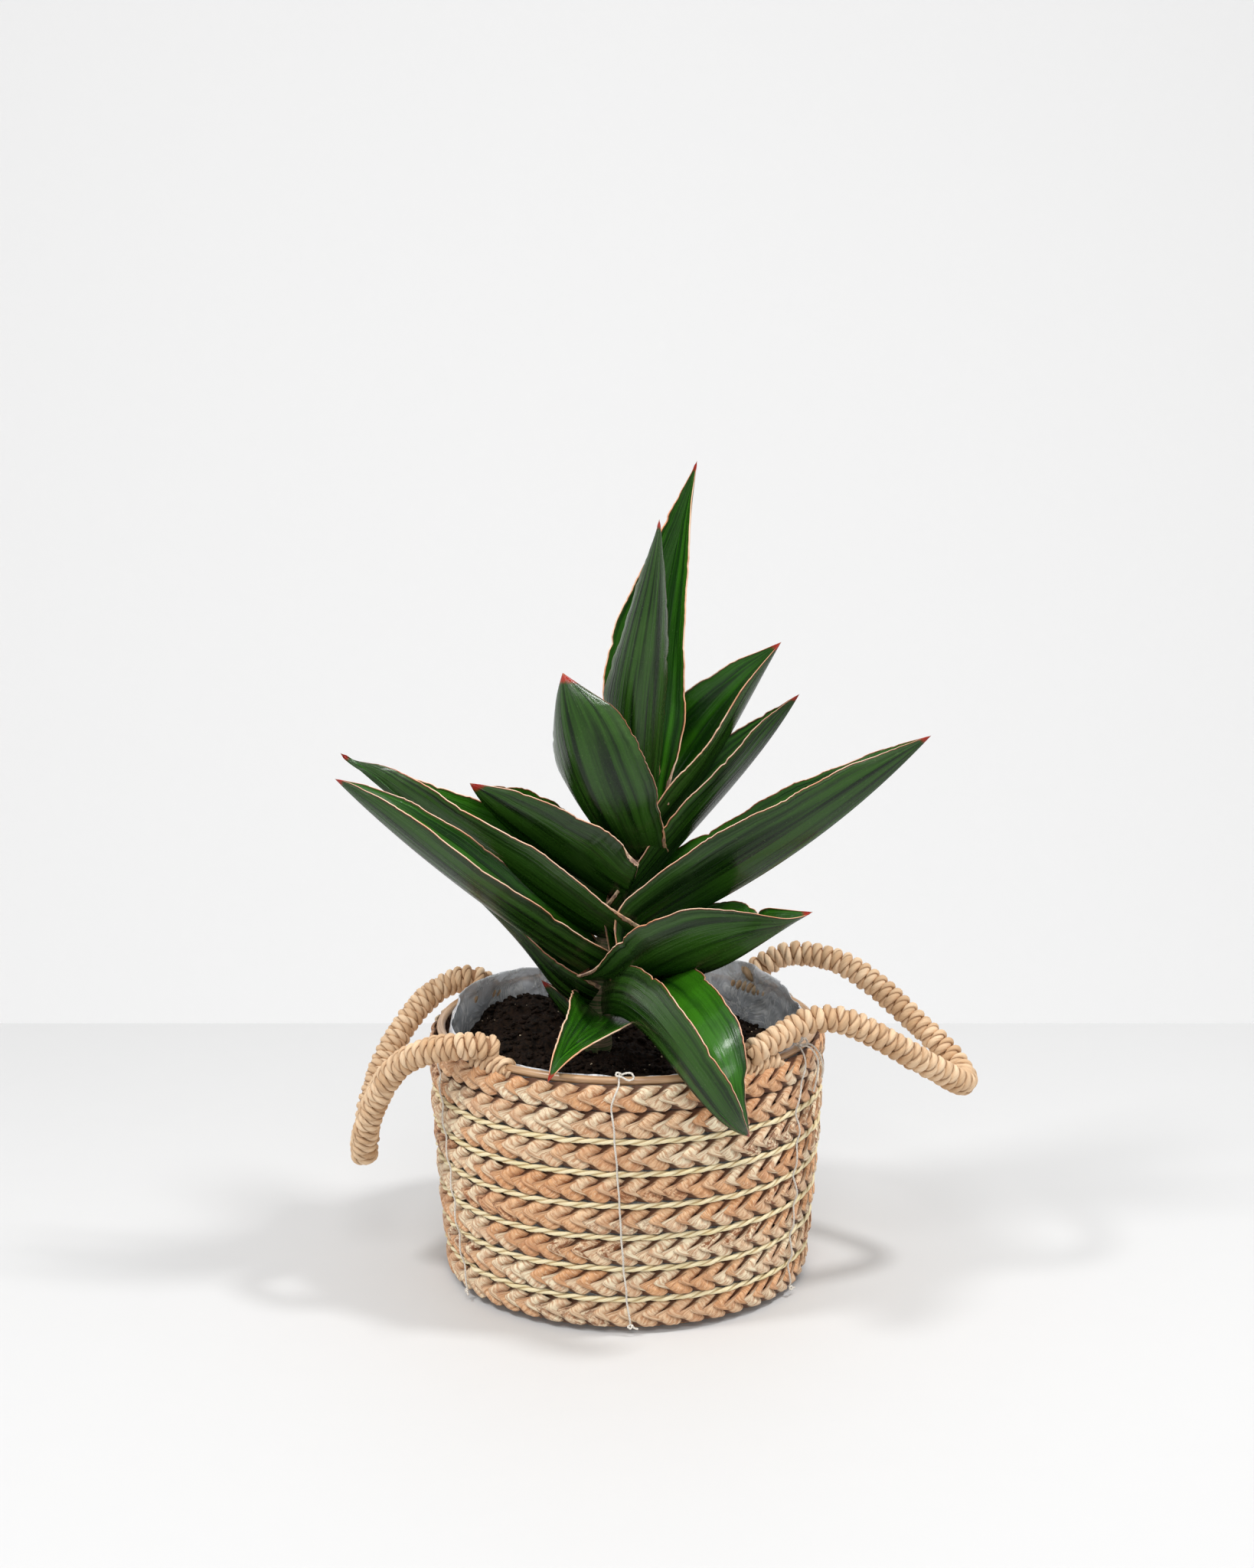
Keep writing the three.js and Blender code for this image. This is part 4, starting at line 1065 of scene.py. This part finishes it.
# A leaf is a channel swept along its keel, the line down the middle of its outer face.
#   root: height above the compost at which it leaves the stem
#   keel: two shaping points and the tip of a cubic curve that starts at the root
#   half: arc width from keel to margin at the widest place; near and far scale one side or the other
#   face, face_tip: where the hollow side looks at the root and at the tip
#   fold, fold_tip: slope in degrees of the section at the keel and at the margins
#   peak: how far along the widest place is; base: share of that width at the root
#   taper: how late the blade narrows toward the tip; thick: thickness at the keel
LEAVES = {
    "leaf_01_left_lowest": dict(
        root=6, keel=(plant_at(-32, 10, 12), plant_at(-42, 13, 24), plant_at(-48, 16, 38)), half=14,
        face=(0.7, 0, 0.7), fold=(25, 70), fold_tip=(40, 85), peak=0.4, base=0.8, taper=1.7, thick=4,
    ),
    "leaf_02_front_short": dict(
        root=18, keel=(plant_at(-16, -50, 28), rim_at(-112, -19.6, 1.5), rim_at(-110, 8.7, -8.4)), half=26,
        near=0.85, far=1.1, face=(0.35, -0.16, 0.87), fold=(15, 42), fold_tip=(40, 80), peak=0.2, base=0.95,
        taper=1.7, thick=4,
    ),
    "leaf_03_front_drooping": dict(
        root=20, keel=(plant_at(12, -100, 61), rim_at(-78.5, 50, -16), rim_at(-61.5, 21, -36)), half=37,
        near=0.8, far=1.22, face=(0.2, -0.1, 0.45), face_tip=(0.8, 0, 0.6),
        fold=(48, 88), fold_tip=(55, 88), peak=0.2, base=0.6, taper=2.5, thick=4.5,
    ),
    "leaf_04_left_lower": dict(
        root=21, keel=(plant_at(-51, 1, 36), plant_at(-36, 5, 43), plant_at(-91, 6, 95)), half=21.5,
        face=(0.35, 0.1, 0.7), face_tip=(0.55, -0.35, 0.8),
        fold=(30, 80), fold_tip=(37, 87), peak=0.33, base=0.9, taper=1.5, thick=4.5,
    ),
    "leaf_05_right_curved": dict(
        root=44, keel=(plant_at(50, -30, 46), plant_at(48, -82, 73), plant_at(97, -65, 98)), half=43,
        near=1.08, far=1.24, face=(-0.05, -0.25, 0.8), face_tip=(0.45, 0.05, 0.35),
        fold=(9, 54), fold_tip=(43, 81), peak=0.36, base=0.7, taper=1.5, thick=5,
    ),
    "leaf_06_left_long_lower": dict(
        root=38, keel=(plant_at(-54, -33, 74), plant_at(-115, -55, 127), plant_at(-155, -31, 162)), half=25,
        far=1.05, face=(0.15, -0.1, 0.8), face_tip=(0.7, -0.2, 0.35),
        fold=(34, 80), fold_tip=(38, 86), peak=0.54, base=0.86, taper=2.3, thick=5,
    ),
    "leaf_07_left_long_upper": dict(
        root=62, keel=(plant_at(-44, -7, 80), plant_at(-104, -24, 129), plant_at(-154, -11, 172)), half=35,
        near=1.04, far=1.13, face=(0.3, -0.25, 0.7), face_tip=(0.15, 0.05, -0.15),
        fold=(34, 84), fold_tip=(54, 90), peak=0.47, base=0.8, taper=1.3, thick=5,
    ),
    "leaf_08_right_long": dict(
        root=58, keel=(plant_at(62, -13, 92), plant_at(116, -10, 129), plant_at(163, -13, 182)), half=37,
        near=1.08, far=1.13, face=(-0.3, 0.05, -0.2), face_tip=(-0.4, 0.1, 1.05),
        fold=(22, 78), fold_tip=(50, 90), peak=0.25, base=0.64, taper=2.4, thick=5,
    ),
    "leaf_09_left_short": dict(
        root=84, keel=(plant_at(-46, 14, 105), plant_at(-76, -33, 142), plant_at(-84, -23, 158)), half=41,
        near=0.94, far=1.22, face=(0.65, 0.1, 0.55), face_tip=(0.55, 0.2, 0.75),
        fold=(8, 65), fold_tip=(36, 84), peak=0.35, base=0.83, taper=1.3, thick=5,
    ),
    "leaf_10_right_middle": dict(
        root=80, keel=(plant_at(40, 9, 130), plant_at(74, 40, 156), plant_at(94, 14, 200)), half=24,
        near=1.04, far=1.1, face=(-0.75, -0.2, 0.65), face_tip=(-0.1, -0.1, 0.8),
        fold=(28, 74), fold_tip=(37, 87), peak=0.33, base=0.75, taper=2.2, thick=4.5,
    ),
    "leaf_11_right_upper": dict(
        root=108, keel=(plant_at(49, 40, 147), plant_at(58, 34, 177), plant_at(84, 18, 228)), half=34,
        near=0.97, far=1.38, face=(-0.85, -0.3, 0.35), face_tip=(-0.65, -0.5, 0.5),
        fold=(20, 60), fold_tip=(38, 81), peak=0.23, base=0.55, taper=2.3, thick=4.5,
    ),
    "leaf_12_upright_broad": dict(
        root=106, keel=(plant_at(-16, -34, 138), plant_at(-36, -42, 182), plant_at(-34, -25, 218)), half=32,
        near=0.92, far=1.12, face=(0.45, 0.85, 0.25), fold=(10, 50), fold_tip=(20, 65), peak=0.5, base=0.6,
        taper=2.8, thick=4.5,
    ),
    "leaf_13_centre_front": dict(
        root=134, keel=(plant_at(-3, -30, 196), plant_at(15, -36, 253), plant_at(17, -14, 298)), half=26,
        face=(0, 1, 0.1), fold=(18, 70), fold_tip=(35, 85), peak=0.36, base=0.6, taper=1.7, thick=5,
    ),
    "leaf_14_centre_tallest": dict(
        root=136, keel=(plant_at(2, 44, 203), plant_at(30, 50, 268), plant_at(38, 33, 325)), half=31,
        face=(0.1, -1, 0.15), face_tip=(-0.5, -1, 0), fold=(12, 52), fold_tip=(40, 80), peak=0.33, base=0.6,
        taper=1.6, thick=4.5,
    ),
}
MARGIN_THICKNESS = 0.95
MARGIN_CURL = 5.0  # degrees by which a margin rolls in and out along the leaf
THORN_LENGTH = 6.0


def margin_wave(run, side, seed):
    """How far a margin strays in and out, in mm along the leaf: slow waves, ripples, a few notches."""
    rng = np.random.default_rng(seed * 2 + (side > 0))
    wave = 0.55 * np.sin(run / rng.uniform(9, 13) + rng.uniform(0, TURN))
    wave = wave + 0.35 * np.sin(run / rng.uniform(3.5, 5.5) + rng.uniform(0, TURN))
    wave = wave + 0.3 * cloud(np.stack([run / 2.2, run * 0 + seed], -1), seed)
    for _ in range(3):
        spot = rng.uniform(0.25, 0.85) * run[-1]
        wave = wave - rng.uniform(0.4, 1.3) * np.exp(-(((run - spot) / rng.uniform(1.2, 2.6)) ** 2))
    return wave


def leaf_surface(leaf, seed):
    """Points of a leaf, and named values at them. With t the share along the keel's cubic curve and a
    share from -1 to 1 across, the section turns evenly from the keel's slope to the margin's, so it is
    an arc on each side of the keel. The hollow face lies inside it by a thickness that thins towards
    the margins, and a half-round bead joins the two at each margin."""
    stations, half_cols, bead = 120, 15, 6
    t = 1 - (1 - np.linspace(0, 1, stations)) ** 1.25
    knots = np.array([on_stem(leaf["root"]), *leaf["keel"]])
    rest = 1 - t
    weights = np.stack([rest**3, 3 * rest**2 * t, 3 * rest * t**2, t**3], -1)
    origin = weights @ knots
    slopes = np.stack([rest**2, 2 * rest * t, t**2], -1)
    forward = unit(slopes @ np.diff(knots, axis=0))
    run = run_length(origin)
    to_tip = run[-1] - run

    face = np.array(leaf["face"], float)
    inward = lerp(face, np.array(leaf.get("face_tip", leaf["face"]), float), t[:, None])
    inward = unit(inward - np.sum(inward * forward, -1, keepdims=True) * forward)
    sideways = np.cross(forward, inward)
    at_keel = np.radians(lerp(leaf["fold"][0], leaf["fold_tip"][0], t))[:, None]
    at_margin = np.radians(lerp(leaf["fold"][1], leaf["fold_tip"][1], t))[:, None]

    peak = leaf["peak"]
    rise = leaf["base"] + (1 - leaf["base"]) * np.sin(math.pi / 2 * np.minimum(t / peak, 1))
    fall = 1 - np.clip((t - peak) / (1 - peak), 0, 1) ** leaf["taper"]
    width = leaf["half"] * np.where(t < peak, rise, fall)
    width = np.maximum(width, 1.5 * np.clip(to_tip / THORN_LENGTH, 0, 1) ** 0.8)
    settle = smooth(to_tip, 4, 22)
    slim = np.minimum(1, 0.25 + 4 * rest) * np.clip(to_tip / 3.0, 0.05, 1)

    share = np.linspace(-1, 1, 2 * half_cols + 1)
    size = np.abs(share)[None, :]
    side = np.where(share >= 0, 1.0, -1.0)[None, :]
    scale = np.where(share >= 0, leaf.get("near", 1.0), leaf.get("far", 1.0))[None, :]
    stray = np.where(
        share[None, :] >= 0, margin_wave(run, 1, seed)[:, None], margin_wave(run, -1, seed)[:, None]
    ) * settle[:, None]
    curl = np.radians(MARGIN_CURL) * np.sin(run / 15 + seed)[:, None]
    curl = curl * settle[:, None] * np.where(share >= 0, 1, -0.7)
    at_margin = at_margin + curl * size
    slope = lerp(at_keel, at_margin, size)
    bend = at_margin - at_keel
    reach = width[:, None] * scale + stray * size**3
    out = reach * side * (np.sin(slope) - np.sin(at_keel)) / bend
    up = reach * (np.cos(at_keel) - np.cos(slope)) / bend
    lifted, beside = inward[:, None], sideways[:, None]
    sine, cosine = np.sin(slope)[..., None], np.cos(slope)[..., None]
    turned = side[..., None]
    normal = lifted * cosine - beside * turned * sine
    outward = beside * turned * cosine + lifted * sine
    outer = origin[:, None] + beside * out[..., None] + lifted * up[..., None]
    thickness = lerp(leaf["thick"], MARGIN_THICKNESS, size) * slim[:, None]
    inner = outer + normal * thickness[..., None]

    def edge(column):
        """The half-round bead at a margin, from the outer face to the hollow one."""
        turn = (np.arange(1, bead) / bead - 0.5) * math.pi
        radius = thickness[:, column] / 2
        centre = (outer[:, column] + inner[:, column]) / 2
        return (
            centre[:, None]
            + (np.cos(turn)[None, :] * radius[:, None])[..., None] * outward[:, column][:, None]
            + (np.sin(turn)[None, :] * radius[:, None])[..., None] * normal[:, column][:, None]
        )

    points = np.concatenate([outer, edge(-1), inner[:, ::-1], edge(0)[:, ::-1]], axis=1)
    gap = np.abs(reach) * (1 - size) + MARGIN_THICKNESS * 0.45
    bead_gap = np.abs(np.arange(1, bead) / bead - 0.5) * MARGIN_THICKNESS * 0.9 * np.ones((stations, 1))
    margin = np.concatenate([gap, bead_gap, gap[:, ::-1], bead_gap], axis=1)
    across = np.concatenate([share, np.full(bead - 1, 1.0), share[::-1], np.full(bead - 1, -1.0)])
    ramp = np.arange(1, bead) / bead
    hollow = np.concatenate([0 * share, ramp, 0 * share + 1, ramp[::-1]])
    return points, dict(
        across=across[None, :],
        hollow=hollow[None, :],
        margin_mm=margin,
        along=t[:, None],
        tip_mm=to_tip[:, None],
        root_mm=run[:, None],
        shade=float(seed),
    )


def build_leaves(finish):
    """All the leaves, each from its entry in LEAVES and a seed of its own for its margins."""
    for seed, (name, leaf) in enumerate(LEAVES.items(), start=1):
        points, values = leaf_surface(leaf, seed)
        rows, cols = points.shape[:2]
        lengths, girths = np.linspace(0, 1, rows), np.arange(cols + 1) / cols
        uv = np.stack(np.meshgrid(lengths, girths, indexing="ij"), -1)
        surface = Surface()
        surface.grid(points, uv, wrap=(False, True), caps=True, **values)
        surface.piece(name.replace("leaf_", "blade_"), finish, [name])


# ---- room, light and camera ---------------------------------------------------------------------
def stage_sheet(name, corners, colour, roughness, glow):
    """A plain flat sheet that isn't part of the object. A glow evens out what no lamp reaches."""
    mesh = bpy.data.meshes.new(name)
    mesh.from_pydata(corners, [], [(0, 1, 2, 3)])
    f = Finish(name)
    grain = f.noise(f.stretch(f.place(), (40.0, 40.0, 40.0)), 1.0, 2.0, 0.5)
    mottled = f.mix(f.math("MULTIPLY", grain, 0.06), colour, paint(225, 225, 225))
    mesh.materials.append(f.done(
        Base_Color=mottled, Roughness=roughness, Emission_Color=colour, Emission_Strength=glow
    ))
    made = bpy.data.objects.new(name, mesh)
    bpy.context.scene.collection.objects.link(made)
    return made


def build_room():
    """A pale table top with a straight back edge, and a pale wall and a lower floor behind."""
    top_colour, wall_colour = paint(208, 208, 208), paint(243, 243, 243)
    back, wall, low = 0.456, 2.2, -0.7
    table = [(-3, -3, 0), (3, -3, 0), (3, back, 0), (-3, back, 0)]
    behind = [(-6, wall, -2), (6, wall, -2), (6, wall, 4), (-6, wall, 4)]
    below = [(-6, 0.46, low), (6, 0.46, low), (6, wall, low), (-6, wall, low)]
    stage_sheet("table_top", table, top_colour, 0.6, 0.06)
    stage_sheet("back_wall", behind, wall_colour, 0.9, 0.13)
    stage_sheet("lower_floor", below, wall_colour, 0.9, 0.13)


LAMP_AIM = (0, 0, 0.2)


def soft_lamp(name, place, size, power):
    """A round lamp of this width in metres and power in watts, turned to LAMP_AIM."""
    lamp = bpy.data.lights.new(name, "AREA")
    lamp.shape = "DISK"
    lamp.size = size
    lamp.energy = power
    made = bpy.data.objects.new(name, lamp)
    made.location = place
    direction = np.array(LAMP_AIM) - np.array(place)
    made.rotation_mode = "QUATERNION"
    made.rotation_quaternion = Vector(direction).to_track_quat("-Z", "Y")
    bpy.context.scene.collection.objects.link(made)


def build_light():
    """Even pale surroundings, a soft lamp high on each side, and a large one above the front."""
    world = bpy.data.worlds.new("pale surroundings")
    world.use_nodes = True
    sky = world.node_tree.nodes["Background"]
    sky.inputs["Color"].default_value = (1.0, 1.0, 1.0, 1)
    sky.inputs["Strength"].default_value = 0.6
    bpy.context.scene.world = world
    soft_lamp("lamp over the left", (-0.9, -0.5, 1.5), 0.30, 11)
    soft_lamp("lamp over the right", (0.75, -0.2, 1.5), 0.22, 12)
    soft_lamp("lamp over the front", (0.0, -1.6, 1.9), 0.8, 13)


CAMERA_PLACE = (0.0, -1.34, 0.55)
CAMERA_DIP = 11.6  # degrees below the horizon
CAMERA_LENS = 57.83  # mm, on a sensor 36 mm wide


def build_camera():
    """A level camera in front of the basket, tipped down by CAMERA_DIP."""
    camera = bpy.data.cameras.new("front camera")
    camera.sensor_width = 36
    camera.lens = CAMERA_LENS
    camera.clip_start = 0.05
    camera.clip_end = 20
    made = bpy.data.objects.new("front camera", camera)
    made.location = CAMERA_PLACE
    made.rotation_euler = (math.radians(90 - CAMERA_DIP), 0, 0)
    bpy.context.scene.collection.objects.link(made)
    bpy.context.scene.camera = made


build_camera()
build_light()
build_room()

plait = plait_finish()
build_rows(plait)
build_base(plait)
build_piping(piping_finish())
build_rod(rod_finish())
build_threads(thread_finish())
build_handles(rope_finish())
build_liner(film_finish())
build_compost(compost_finish())
build_stem(stem_finish())
build_leaves(leaf_finish())

bpy.context.scene.view_settings.view_transform = "Standard"
